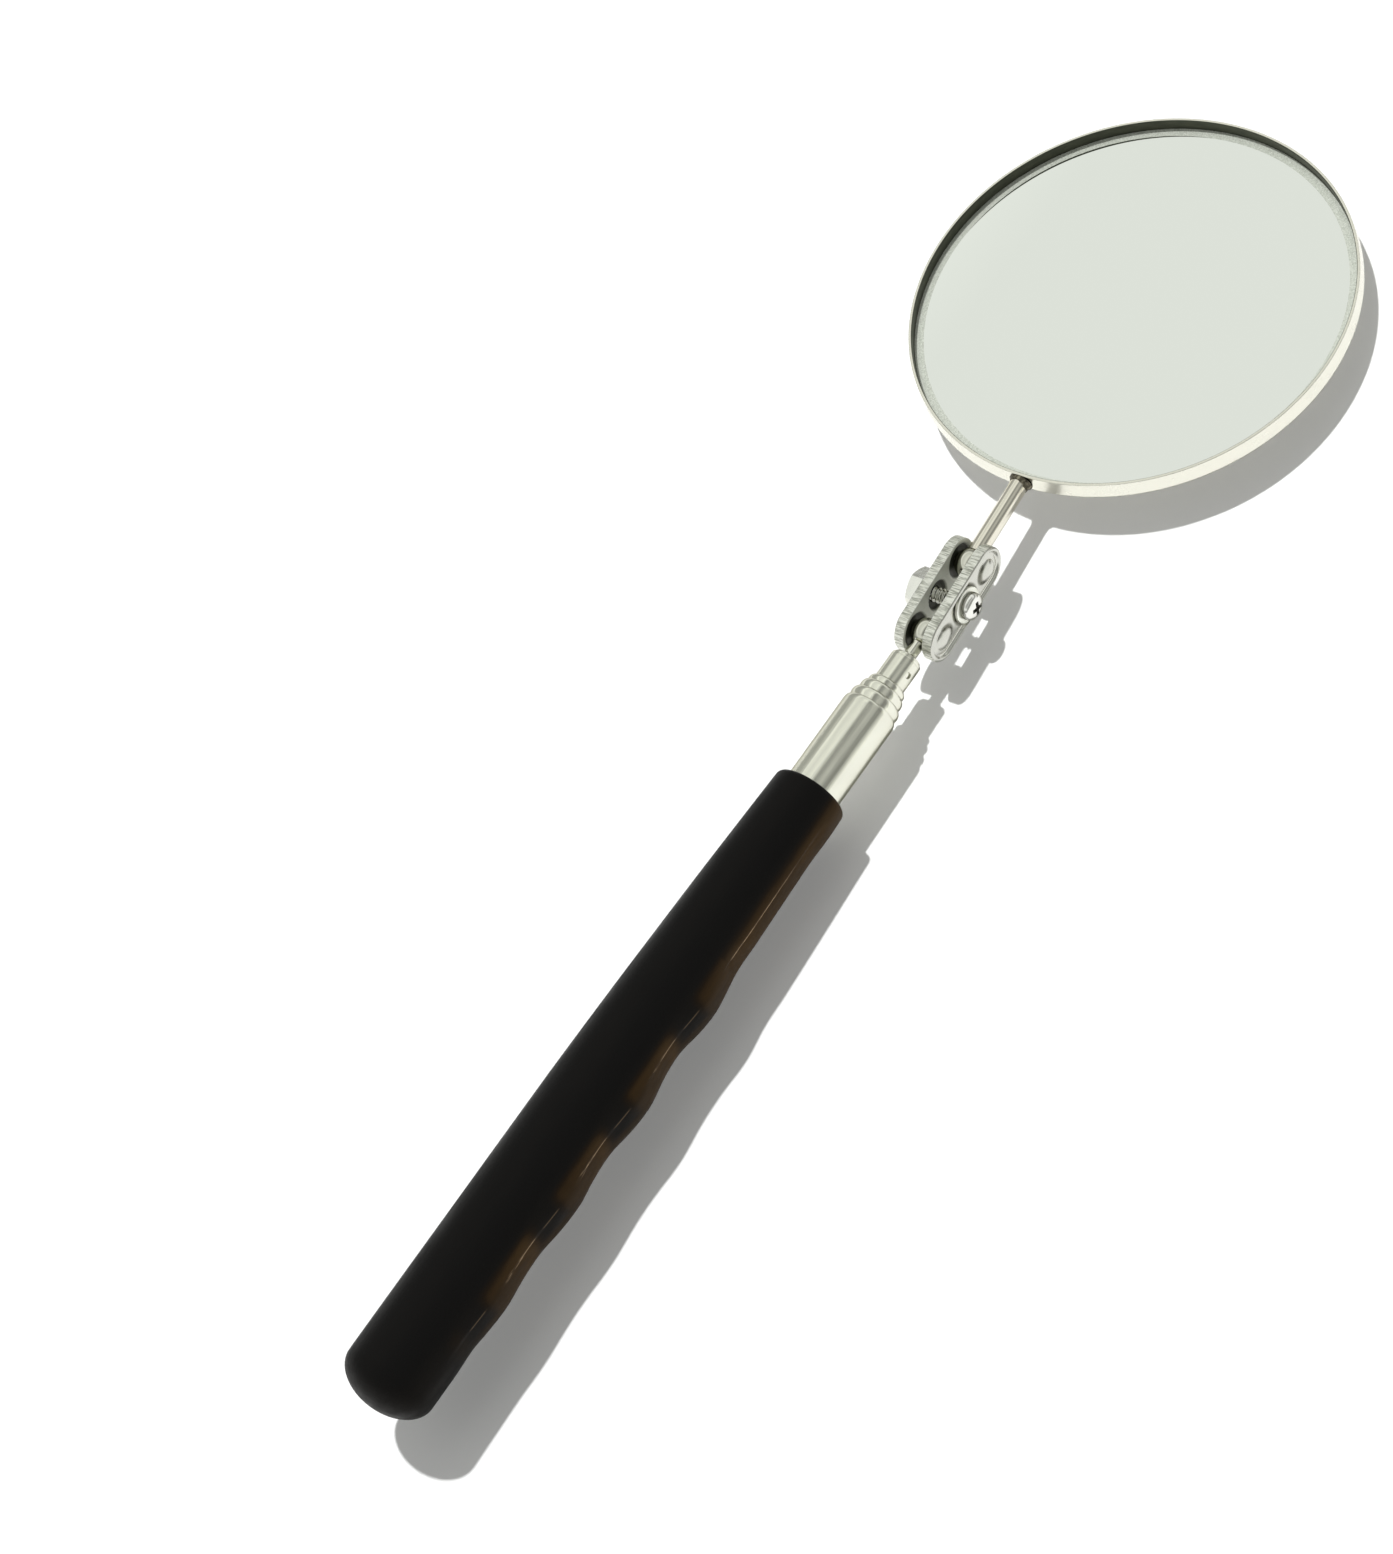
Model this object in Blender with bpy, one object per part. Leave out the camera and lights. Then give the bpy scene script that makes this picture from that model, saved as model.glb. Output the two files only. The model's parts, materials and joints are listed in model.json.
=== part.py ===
"""Telescoping inspection mirror: a round mirror on a double ball joint, at the end of a five-section
telescoping handle with a moulded grip.

The tool lies on a surface, retracted and straight. +X runs along the handle towards the mirror, and the
mirror faces +Z. Sizes below are in millimetres, and MM turns them into metres.
"""

import math

import bmesh
import bpy
from mathutils import Matrix, Vector

MM = 0.001
MERGE = 0.0005 * MM

# Facets round the handle's axis, round small parts and round the mirror
TUBE_SIDES = 24
SMALL_SIDES = 20
MIRROR_SIDES = 72

# Grip: a closed-ended sleeve with four finger swells along one side
GRIP_LENGTH = 128.3
GRIP_TOP_R = 6.75
GRIP_BODY_R = 8.30
GRIP_TAPER_START = 60.0
GRIP_END_WALL = 4.0
GRIP_DOME = 5.5
GRIP_LIP = 0.5
SWELL_FIRST = 86.5
SWELL_PITCH = 20.5
SWELL_COUNT = 4
SWELL_SIDE = math.radians(205)
SWELL_FULL = math.radians(32)
SWELL_EDGE = math.radians(58)

# Telescoping sections, outermost first: the base tube and four sliding sections
WALL = 0.30
TUBE_R = (5.08, 4.55, 3.97, 3.42, 2.88)
TUBE_TOP = (146.6, 148.7, 150.7, 152.1, 157.8)
TUBE_BOTTOM = (4.3, 10.9, 14.3, 17.7, 21.1)
ROLL_LENGTH = 1.5
ROLL_LIP = 0.12
SLIDE_GAP = 0.05

# Brass bush in the foot of each sliding section, and the split spring sleeve round it
BUSH_FLANGE = 1.2
BUSH_STEM = 2.0
BUSH_WALL = 0.9
SPRING_LENGTH = 7.0
SPRING_GAP = 0.045
SPRING_OPEN_SIDES = 4

END_PLUG_LENGTH = 5.0

# Double ball joint
LOWER_BALL_X = 163.9
BALL_SPACING = 15.4
BALL_R = 2.75
SWIVEL_YAW = math.radians(3.8)
STUD_BODY_LENGTH = 8.0
STUD_NECK_R = 1.2
CROSS_PIN_R = 0.5
CROSS_PIN_BELOW_TOP = 2.9
STUD_RECESS = 0.35
STUD_FILLET = 0.35
PLATE_END_R = 4.15
PLATE_INNER = 1.92
PLATE_THICKNESS = 1.68
PLATE_ROUND = 0.35
SOCKET_R = 2.81
DOME_R = 4.20
SCREW_R = 1.42
SCREW_HOLE_R = 1.50
HEAD_R = 2.30
HEAD_HEIGHT = 1.85
HEAD_EDGE = 0.70
SLOT_LENGTH = 3.0
SLOT_WIDTH = 0.75
SLOT_DEPTH = 1.0
WASHER_R = 3.40
WASHER_THICKNESS = 0.70
NUT_ACROSS_FLATS = 7.00
NUT_THICKNESS = 2.90
NUT_BEVEL = 0.45
SCREW_PAST_NUT = 0.4
FACE_GAP = 0.03
EDGE_BREAK = 0.3

# Mirror head
ROD_R = 1.70
MIRROR_FROM_BALL = 59.7
BRAZE_LENGTH = 1.0
BRAZE_SPREAD = 0.55
CASE_R = 41.275
CASE_HEIGHT = 3.80
CASE_SHEET = 0.60
CASE_BACK = 0.50
CASE_CORNER = 0.80
CASE_LIP = 0.18
GLASS_R = 40.35
GLASS_THICKNESS = 1.20
GLASS_EDGE = 0.20
PAD_R = 39.5
PAD_THICKNESS = 0.28
STACK_GAP = 0.04

# The tool rests on the lower edge of the grip's open end and on the mirror's far rim
REST_GRIP_X = GRIP_LENGTH - GRIP_LIP
REST_MIRROR_X = LOWER_BALL_X + BALL_SPACING + MIRROR_FROM_BALL + CASE_R - 0.7 * CASE_CORNER
NOSE_DOWN = math.asin((GRIP_TOP_R - CASE_HEIGHT / 2) / (REST_MIRROR_X - REST_GRIP_X))

TURN_TO = {
    "X": Matrix.Identity(3),
    "Y": Matrix.Rotation(math.pi / 2, 3, "Z"),
    "-Y": Matrix.Rotation(-math.pi / 2, 3, "Z"),
    "Z": Matrix.Rotation(-math.pi / 2, 3, "Y"),
}


def clear_scene():
    for item in list(bpy.data.objects):
        bpy.data.objects.remove(item)


def make_material(name, colour, metallic, roughness):
    finish = bpy.data.materials.new(name)
    finish.use_nodes = True
    shader = finish.node_tree.nodes["Principled BSDF"]
    shader.inputs["Base Color"].default_value = (*colour, 1.0)
    shader.inputs["Metallic"].default_value = metallic
    shader.inputs["Roughness"].default_value = roughness
    finish.diffuse_color = (*colour, 1.0)
    return finish


def make_frame(name, parent=None, location=(0, 0, 0), rotation=(0, 0, 0)):
    """An empty that carries the pieces of one sub-assembly; location in millimetres."""
    frame = bpy.data.objects.new(name, None)
    bpy.context.scene.collection.objects.link(frame)
    frame.parent = parent
    frame.location = Vector(location) * MM
    frame.rotation_euler = rotation
    return frame


def make_object(name, bm, frame, location, finish):
    """One object from a bmesh, shaded smooth with its corners kept sharp."""
    bmesh.ops.remove_doubles(bm, verts=bm.verts, dist=MERGE)
    bmesh.ops.recalc_face_normals(bm, faces=bm.faces)
    mesh = bpy.data.meshes.new(name)
    bm.to_mesh(mesh)
    bm.free()
    mesh.shade_smooth()
    mesh.set_sharp_from_angle(angle=math.radians(35))
    piece = bpy.data.objects.new(name, mesh)
    bpy.context.scene.collection.objects.link(piece)
    piece.parent = frame
    piece.location = Vector(location) * MM
    if finish:
        mesh.materials.append(finish)
    return piece


def revolve(outline, axis="X", sides=TUBE_SIDES):
    """A solid turned from an outline of (distance along the axis, radius) points.

    An outline that starts and ends on the axis makes a solid, and any other outline is closed into a ring.
    """
    bm = bmesh.new()
    verts = [bm.verts.new((along * MM, 0.0, radius * MM)) for along, radius in outline]
    edges = [bm.edges.new(pair) for pair in zip(verts, verts[1:])]
    if outline[0][1] > 0 or outline[-1][1] > 0:
        edges.append(bm.edges.new((verts[-1], verts[0])))
    bmesh.ops.spin(
        bm, geom=verts + edges, cent=(0, 0, 0), axis=(1, 0, 0),
        angle=2 * math.pi, steps=sides, use_merge=True,
    )
    bmesh.ops.rotate(bm, verts=bm.verts, cent=(0, 0, 0), matrix=TURN_TO[axis])
    return bm


def skin(rings):
    """Joins rings of points, in millimetres, into one surface with a face on its first and last ring."""
    bm = bmesh.new()
    rows = [[bm.verts.new(Vector(point) * MM) for point in ring] for ring in rings]
    for low, high in zip(rows, rows[1:]):
        for i in range(len(low)):
            j = (i + 1) % len(low)
            bm.faces.new((low[i], low[j], high[j], high[i]))
    bm.faces.new(rows[0])
    bm.faces.new(reversed(rows[-1]))
    return bm


def cut(piece, cutter, operation="DIFFERENCE"):
    """Applies a boolean between a piece and a hidden guide shape in the same frame."""
    cutter.hide_render = True
    cutter.display_type = "WIRE"
    step = piece.modifiers.new(cutter.name, "BOOLEAN")
    step.operation = operation
    step.object = cutter


def ease(t):
    """A smooth step from 0 to 1."""
    t = min(max(t, 0.0), 1.0)
    return t * t * (3 - 2 * t)


def grip_body_radius(x):
    """The grip's radius without its swells: even at the closed end, slimmer towards the tube."""
    if x < GRIP_DOME:
        return GRIP_BODY_R * math.sqrt(1 - ((GRIP_DOME - x) / GRIP_DOME) ** 2)
    along = max(0.0, (x - GRIP_TAPER_START) / (GRIP_LENGTH - GRIP_TAPER_START))
    return GRIP_BODY_R - (GRIP_BODY_R - GRIP_TOP_R) * along ** 1.6


def swell_height(x):
    """How far the finger side stands out from the body: strongest at the swell nearest the tube."""
    last = SWELL_FIRST - SWELL_PITCH * (SWELL_COUNT - 1)
    towards_tube = min(max((x - last) / (SWELL_FIRST - last), 0.0), 1.0)
    wave = 0.17 + 0.30 * towards_tube
    lift = 0.15 - 0.09 * towards_tube
    if x < last - SWELL_PITCH / 2:
        return 0.0
    phase = math.cos(2 * math.pi * (x - SWELL_FIRST) / SWELL_PITCH)
    ends = ease((SWELL_FIRST + 0.75 * SWELL_PITCH - x) / (0.6 * SWELL_PITCH))
    start = ease((x - last + 0.5 * SWELL_PITCH) / (0.5 * SWELL_PITCH))
    return (lift + wave * phase) * ends * start


def swell_share(angle):
    """1 along the finger side, falling to 0 at the crease on each flank."""
    away = abs((angle - SWELL_SIDE + math.pi) % (2 * math.pi) - math.pi)
    return ease((SWELL_EDGE - away) / (SWELL_EDGE - SWELL_FULL))


def grip_ring(x, inset=0.0):
    points = []
    for i in range(TUBE_SIDES):
        angle = 2 * math.pi * i / TUBE_SIDES
        radius = grip_body_radius(x) + swell_height(x) * swell_share(angle) - inset
        points.append((x, radius * math.cos(angle), radius * math.sin(angle)))
    return points


def round_ring(x, radius, sides=TUBE_SIDES):
    turn = 2 * math.pi / sides
    return [(x, radius * math.cos(turn * i), radius * math.sin(turn * i)) for i in range(sides)]


def make_grip(frame, finish):
    """Outer skin from the closed end to the open end, then back down the bore."""
    dome = [GRIP_DOME * (1 - math.cos(math.radians(a))) for a in (22, 42, 62, 78)]
    straight = [GRIP_DOME + 3.2]
    swells = [12.0 + 2.93 * i for i in range(31)]
    slim = [106.0, 113.0, 120.0, GRIP_LENGTH - 2.0]
    rings = [round_ring(0.0, 1.2)]
    rings += [grip_ring(x) for x in dome + straight + swells + slim]
    rings.append(grip_ring(GRIP_LENGTH - GRIP_LIP))
    rings.append(grip_ring(GRIP_LENGTH - 0.3 * GRIP_LIP, 0.3 * GRIP_LIP))
    rings.append(grip_ring(GRIP_LENGTH, GRIP_LIP))
    bore = TUBE_R[0] + 2 * SLIDE_GAP
    rings.append(round_ring(GRIP_LENGTH, bore))
    rings.append(round_ring(GRIP_END_WALL, bore))
    return make_object("grip", skin(rings), frame, (0, 0, 0), finish)


def tube_bore(section):
    return TUBE_R[section] - WALL


def make_tube(name, section, frame, finish):
    """A thin tube whose mouth is rolled in to guide the next section. The last one ends square."""
    bottom, top, outer = TUBE_BOTTOM[section], TUBE_TOP[section], TUBE_R[section]
    length = top - bottom
    bore = tube_bore(section)
    if section + 1 < len(TUBE_R):
        mouth = TUBE_R[section + 1] + SLIDE_GAP
        lip = mouth + ROLL_LIP
        steps = [(share, outer - (outer - lip) * ease(share) ** 1.3) for share in (0.0, 0.35, 0.65, 0.9)]
        shoulder = [(length - ROLL_LENGTH * (1 - share), radius) for share, radius in steps]
        outline = [(0.0, outer)] + shoulder + [
            (length, lip - 0.05),
            (length, mouth),
            (length - 0.8, mouth),
            (length - ROLL_LENGTH, bore),
            (0.0, bore),
        ]
    else:
        outline = [(0.0, outer), (length - 0.15, outer), (length, outer - 0.12), (length, bore), (0.0, bore)]
    return make_object(name, revolve(outline), frame, (bottom, 0, 0), finish)


def make_bush(name, section, frame, finish):
    """A turned brass bush: its stem is fixed in the section's foot, and its flange runs in the next bore."""
    flange = tube_bore(section - 1) - SLIDE_GAP
    stem = tube_bore(section) - SLIDE_GAP
    hole = stem - BUSH_WALL
    outline = [
        (-BUSH_FLANGE, hole), (-BUSH_FLANGE, flange - 0.1), (-BUSH_FLANGE + 0.1, flange),
        (-FACE_GAP, flange), (-FACE_GAP, stem), (BUSH_STEM, stem), (BUSH_STEM, hole),
    ]
    return make_object(name, revolve(outline), frame, (TUBE_BOTTOM[section], 0, 0), finish)


def make_spring(name, section, frame, finish):
    """A split spring sleeve that fills the space between a section and the bore it slides in."""
    inner = TUBE_R[section] + SPRING_GAP
    outer = tube_bore(section - 1) - SPRING_GAP
    turn = 2 * math.pi / TUBE_SIDES
    rings = []
    for i in range(TUBE_SIDES + 1 - SPRING_OPEN_SIDES):
        y, z = math.cos(turn * i), math.sin(turn * i)
        rings.append([
            (0.0, inner * y, inner * z), (SPRING_LENGTH, inner * y, inner * z),
            (SPRING_LENGTH, outer * y, outer * z), (0.0, outer * y, outer * z),
        ])
    start = TUBE_BOTTOM[section] + 0.3
    return make_object(name, skin(rings), frame, (start, 0, 0), finish)


def make_end_plug(frame, finish):
    radius = tube_bore(0) - SLIDE_GAP
    outline = [
        (0, 0), (0, radius), (END_PLUG_LENGTH - 0.5, radius),
        (END_PLUG_LENGTH, radius - 0.5), (END_PLUG_LENGTH, 0),
    ]
    return make_object("end_plug", revolve(outline), frame, (TUBE_BOTTOM[0] + 0.2, 0, 0), finish)


def make_cutter(name, bm, frame, location=(0, 0, 0)):
    return make_object(name, bm, frame, location, None)


def cylinder_outline(low, high, radius):
    return [(low, 0), (low, radius), (high, radius), (high, 0)]


def make_ball_stud(frame, finish):
    """A plug fixed in the last section's mouth, with the slim neck that carries the lower ball."""
    body = TUBE_TOP[-1] - STUD_RECESS
    radius = tube_bore(-1) - SLIDE_GAP
    ball_flat = LOWER_BALL_X - math.sqrt(BALL_R ** 2 - STUD_NECK_R ** 2)
    outline = [
        (0, 0), (0, radius), (STUD_BODY_LENGTH - EDGE_BREAK, radius), (STUD_BODY_LENGTH, radius - EDGE_BREAK),
        (STUD_BODY_LENGTH, STUD_NECK_R + STUD_FILLET), (STUD_BODY_LENGTH + STUD_FILLET, STUD_NECK_R),
    ]
    start = body - STUD_BODY_LENGTH
    end = ball_flat - FACE_GAP - start
    outline += [(end, STUD_NECK_R), (end, 0)]
    return make_object("ball_stud", revolve(outline), frame, (start, 0, 0), finish)


def make_cross_pin(frame, tube, stud, finish):
    """A pin across the last section and the stud, with the hole that it sits in."""
    at = (TUBE_TOP[-1] - CROSS_PIN_BELOW_TOP, 0, 0)
    reach = TUBE_R[-1] + 1
    hole = cylinder_outline(-reach, reach, CROSS_PIN_R + SLIDE_GAP)
    cutter = make_cutter("cross_pin_hole", revolve(hole, "Y", SMALL_SIDES), frame, at)
    cut(tube, cutter)
    cut(stud, cutter)
    half = TUBE_R[-1] - 0.4
    pin = cylinder_outline(-half, half, CROSS_PIN_R)
    return make_object("cross_pin", revolve(pin, "Y", SMALL_SIDES), frame, at, finish)


def make_ball(name, flat_side, x, frame, finish):
    """A ball with a small flat where its stud or rod meets it; flat_side is -1 or 1 along X."""
    flat_r = STUD_NECK_R if flat_side < 0 else ROD_R
    start = math.asin(flat_r / BALL_R)
    steps = 9
    angles = [start + (math.pi - start) * i / steps for i in range(steps + 1)]
    outline = [(BALL_R * math.cos(start) * flat_side, 0)]
    outline += [(BALL_R * math.cos(a) * flat_side, BALL_R * math.sin(a)) for a in angles[:-1]]
    outline.append((-BALL_R * flat_side, 0))
    return make_object(name, revolve(outline, sides=SMALL_SIDES), frame, (x, 0, 0), finish)


def plate_outline(inset=0.0):
    """A long round-ended plate in the XZ plane, its ends centred on the two balls."""
    radius = PLATE_END_R - inset
    arc = [math.pi * i / 10 for i in range(11)]
    near = [(-radius * math.sin(a), -radius * math.cos(a)) for a in arc]
    far = [(BALL_SPACING + radius * math.sin(a), radius * math.cos(a)) for a in arc]
    return near[::-1] + far[::-1]


def make_plate(name, side, frame, finish):
    """A pressed clamp plate on one side of the balls, domed outwards over each; side is -1 or 1 along Y."""
    outer = PLATE_INNER + PLATE_THICKNESS
    layers = [(PLATE_INNER, 0.0), (outer - PLATE_ROUND, 0.0), (outer - 0.3 * PLATE_ROUND, 0.3 * PLATE_ROUND),
              (outer, PLATE_ROUND)]
    rings = [[(x, side * y, z) for x, z in plate_outline(inset)] for y, inset in layers]
    plate = make_object(name, skin(rings), frame, (0, 0, 0), finish)
    rim = math.sqrt(DOME_R ** 2 - (outer - 0.1) ** 2)
    spread = math.asin(rim / DOME_R)
    cap = [(outer - 0.6, 0), (outer - 0.6, rim)]
    cap += [(DOME_R * math.cos(spread * i / 4), DOME_R * math.sin(spread * i / 4)) for i in (4, 3, 2, 1)]
    cap.append((DOME_R, 0))
    turn = [math.pi * i / 10 for i in range(11)]
    ball = [(SOCKET_R * math.cos(a), SOCKET_R * math.sin(a)) for a in turn]
    ball[0], ball[-1] = (SOCKET_R, 0), (-SOCKET_R, 0)
    axis = "Y" if side > 0 else "-Y"
    for end, x in (("lower", 0.0), ("upper", BALL_SPACING)):
        dome = make_cutter(f"{name}_{end}_dome", revolve(cap, axis, SMALL_SIDES), frame, (x, 0, 0))
        cut(plate, dome, "UNION")
        socket = make_cutter(f"{name}_{end}_socket", revolve(ball, axis, SMALL_SIDES), frame, (x, 0, 0))
        cut(plate, socket)
    hole = revolve(cylinder_outline(PLATE_INNER - 1, outer + 1, SCREW_HOLE_R), axis, SMALL_SIDES)
    cut(plate, make_cutter(f"{name}_screw_hole", hole, frame, (BALL_SPACING / 2, 0, 0)))
    return plate


def box_cutter(name, size, frame, location):
    bm = bmesh.new()
    bmesh.ops.create_cube(bm, size=1.0)
    bmesh.ops.scale(bm, vec=Vector(size) * MM, verts=bm.verts)
    return make_cutter(name, bm, frame, location)


def make_clamp_screw(frame, finishes):
    """The screw, washer and nut that squeeze the plates on the balls."""
    at = (BALL_SPACING / 2, 0, 0)
    face = PLATE_INNER + PLATE_THICKNESS
    washer_top = face + FACE_GAP + WASHER_THICKNESS
    ring = [(face + FACE_GAP, SCREW_HOLE_R), (face + FACE_GAP, WASHER_R), (washer_top, WASHER_R),
            (washer_top, SCREW_HOLE_R)]
    make_object("clamp_washer", revolve(ring, "-Y", 28), frame, at, finishes["steel"])

    head = washer_top + FACE_GAP
    end = -(face + NUT_THICKNESS + SCREW_PAST_NUT)
    outline = [(end, 0), (end, SCREW_R - EDGE_BREAK), (end + EDGE_BREAK, SCREW_R), (head, SCREW_R)]
    outline.append((head, HEAD_R))
    crown = HEAD_HEIGHT - HEAD_EDGE
    outline += [(head + HEAD_EDGE + crown * math.sin(a), HEAD_R * (0.45 + 0.55 * math.cos(a)))
                for a in (0, math.radians(30), math.radians(60))]
    outline.append((head + HEAD_HEIGHT, 0))
    screw = make_object("clamp_screw", revolve(outline, "-Y"), frame, at, finishes["plated"])
    crown_top = (at[0], -(head + HEAD_HEIGHT), 0)
    depth = 2 * SLOT_DEPTH
    cut(screw, box_cutter("cross_slot_1", (SLOT_LENGTH, depth, SLOT_WIDTH), frame, crown_top))
    cut(screw, box_cutter("cross_slot_2", (SLOT_WIDTH, depth, SLOT_LENGTH), frame, crown_top))

    low = face + FACE_GAP
    high = low + NUT_THICKNESS
    across_corners = NUT_ACROSS_FLATS / math.sqrt(3)
    nut_body = revolve(cylinder_outline(low, high, across_corners), "Y", 6)
    nut = make_object("clamp_nut", nut_body, frame, at, finishes["steel"])
    cone = [(low - 1, 0), (low - 1, across_corners + 0.1), (high - NUT_BEVEL, across_corners + 0.1),
            (high + NUT_BEVEL, NUT_ACROSS_FLATS / 2 - NUT_BEVEL), (high + NUT_BEVEL, 0)]
    cut(nut, make_cutter("nut_chamfer", revolve(cone, "Y", 30), frame, at), "INTERSECT")
    bore = revolve(cylinder_outline(low - 1, high + 1, SCREW_HOLE_R), "Y", SMALL_SIDES)
    cut(nut, make_cutter("nut_bore", bore, frame, at))


def make_mirror_rod(frame, finishes):
    """The rod from the upper ball to the mirror's wall, and the braze that joins it there."""
    start = math.sqrt(BALL_R ** 2 - ROD_R ** 2) + FACE_GAP
    wall = MIRROR_FROM_BALL - CASE_R
    end = wall - FACE_GAP
    outline = [(start, 0), (start, ROD_R), (end, ROD_R), (end, 0)]
    make_object("mirror_rod", revolve(outline), frame, (BALL_SPACING, 0, 0), finishes["plated"])
    inner = ROD_R + SLIDE_GAP
    face = wall - 0.1
    fillet = [(face - BRAZE_LENGTH, inner), (face, inner)]
    fillet += [(face - BRAZE_LENGTH * share, inner + BRAZE_SPREAD * (1 - share) ** 2)
               for share in (0, 0.25, 0.6)]
    make_object("rod_braze", revolve(fillet), frame, (BALL_SPACING, 0, 0), finishes["braze"])


def make_mirror(frame, finishes):
    """The drawn steel case, with its glass bedded on a thin pad; heights run from the case's back."""
    at = (BALL_SPACING + MIRROR_FROM_BALL, 0, -CASE_HEIGHT / 2)
    inner = CASE_R - CASE_SHEET
    bend = [math.radians(a) for a in (0, 30, 60, 90)]
    corner = [(CASE_CORNER * (1 - math.cos(a)), CASE_R - CASE_CORNER * (1 - math.sin(a))) for a in bend]
    case = [(0, 0)] + corner + [
        (CASE_HEIGHT - CASE_LIP, CASE_R), (CASE_HEIGHT, CASE_R - CASE_LIP), (CASE_HEIGHT, inner + CASE_LIP),
        (CASE_HEIGHT - CASE_LIP, inner), (CASE_BACK, inner), (CASE_BACK, 0),
    ]
    make_object("mirror_case", revolve(case, "Z", MIRROR_SIDES), frame, at, finishes["steel"])

    pad_low = CASE_BACK + STACK_GAP
    pad_high = pad_low + PAD_THICKNESS
    pad = cylinder_outline(pad_low, pad_high, PAD_R)
    make_object("backing_pad", revolve(pad, "Z", MIRROR_SIDES), frame, at, finishes["pad"])

    low = pad_high + STACK_GAP
    high = low + GLASS_THICKNESS
    glass = [(low, 0), (low, GLASS_R), (high - GLASS_EDGE, GLASS_R), (high, GLASS_R - GLASS_EDGE), (high, 0)]
    make_object("mirror_glass", revolve(glass, "Z", MIRROR_SIDES), frame, at, finishes["mirror"])


def make_finishes():
    return {
        "grip": make_material("grip_vinyl", (0.022, 0.016, 0.012), 0.0, 0.5),
        "plated": make_material("nickel_plate", (0.78, 0.78, 0.72), 1.0, 0.18),
        "steel": make_material("plated_steel", (0.70, 0.70, 0.65), 1.0, 0.28),
        "brass": make_material("brass", (0.75, 0.58, 0.28), 1.0, 0.35),
        "bronze": make_material("spring_bronze", (0.62, 0.42, 0.24), 1.0, 0.4),
        "nylon": make_material("white_nylon", (0.75, 0.74, 0.70), 0.0, 0.6),
        "braze": make_material("braze_metal", (0.20, 0.18, 0.13), 1.0, 0.5),
        "mirror": make_material("mirror_glass", (0.88, 0.90, 0.88), 1.0, 0.02),
        "pad": make_material("backing_foam", (0.10, 0.10, 0.10), 0.0, 0.8),
    }


def make_handle(frame, finishes):
    make_grip(frame, finishes["grip"])
    make_tube("base_tube", 0, frame, finishes["plated"])
    make_end_plug(frame, finishes["nylon"])
    for section in range(1, len(TUBE_R)):
        number = section + 1
        tube = make_tube(f"tube_{number}", section, frame, finishes["plated"])
        make_bush(f"slide_bush_{number}", section, frame, finishes["brass"])
        make_spring(f"friction_spring_{number}", section, frame, finishes["bronze"])
    return tube


def stand_on_ground(frame):
    """Moves the tool so that its lowest point is at z = 0, under the middle of its bounding box."""
    bpy.context.view_layer.update()
    pieces = [item for item in bpy.data.objects if item.type == "MESH" and not item.hide_render]
    points = [piece.matrix_world @ vert.co for piece in pieces for vert in piece.data.vertices]
    low = Vector(min(point[k] for point in points) for k in range(3))
    high = Vector(max(point[k] for point in points) for k in range(3))
    frame.location -= Vector(((low.x + high.x) / 2, (low.y + high.y) / 2, low.z))
    bpy.context.view_layer.update()


def build():
    clear_scene()
    finishes = make_finishes()
    tool = make_frame("tool_frame", rotation=(0, NOSE_DOWN, 0))
    last_tube = make_handle(tool, finishes)
    stud = make_ball_stud(tool, finishes["plated"])
    make_cross_pin(tool, last_tube, stud, finishes["steel"])
    make_ball("lower_ball", -1, LOWER_BALL_X, tool, finishes["plated"])

    swivel = make_frame("swivel_frame", tool, (LOWER_BALL_X, 0, 0), (0, 0, SWIVEL_YAW))
    make_plate("joint_plate_right", -1, swivel, finishes["steel"])
    make_plate("joint_plate_left", 1, swivel, finishes["steel"])
    make_clamp_screw(swivel, finishes)
    make_ball("upper_ball", 1, BALL_SPACING, swivel, finishes["plated"])
    make_mirror_rod(swivel, finishes)
    make_mirror(swivel, finishes)
    stand_on_ground(tool)


build()
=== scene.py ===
"""Looks for the telescoping inspection mirror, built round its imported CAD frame.

Two local frames carry every piece: TOOL has its origin at the grip's closed end and +X along the handle,
and SWIVEL has its origin at the lower ball and +X towards the mirror. Shapes are given in millimetres there.
"""

import json
from math import asin, atan2, cos, degrees, hypot, pi, radians, sin, sqrt, tanh

import bmesh
import bpy
from mathutils import Matrix, Vector, noise


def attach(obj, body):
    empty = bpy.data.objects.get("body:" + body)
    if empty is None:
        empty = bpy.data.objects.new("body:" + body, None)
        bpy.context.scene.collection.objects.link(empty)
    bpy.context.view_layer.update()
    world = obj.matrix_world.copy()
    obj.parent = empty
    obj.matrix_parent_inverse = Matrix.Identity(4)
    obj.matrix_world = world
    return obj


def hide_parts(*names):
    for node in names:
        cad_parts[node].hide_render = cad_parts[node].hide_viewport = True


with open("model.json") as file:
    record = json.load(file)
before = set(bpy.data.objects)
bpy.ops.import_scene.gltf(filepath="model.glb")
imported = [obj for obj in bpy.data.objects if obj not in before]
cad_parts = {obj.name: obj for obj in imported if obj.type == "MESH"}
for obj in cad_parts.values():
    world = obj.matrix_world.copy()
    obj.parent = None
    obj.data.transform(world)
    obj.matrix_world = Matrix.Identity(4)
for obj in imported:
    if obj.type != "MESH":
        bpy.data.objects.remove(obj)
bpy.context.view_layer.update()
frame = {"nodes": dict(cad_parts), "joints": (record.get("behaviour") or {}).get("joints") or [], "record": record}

MM = 0.001
TAU = 2 * pi

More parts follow.
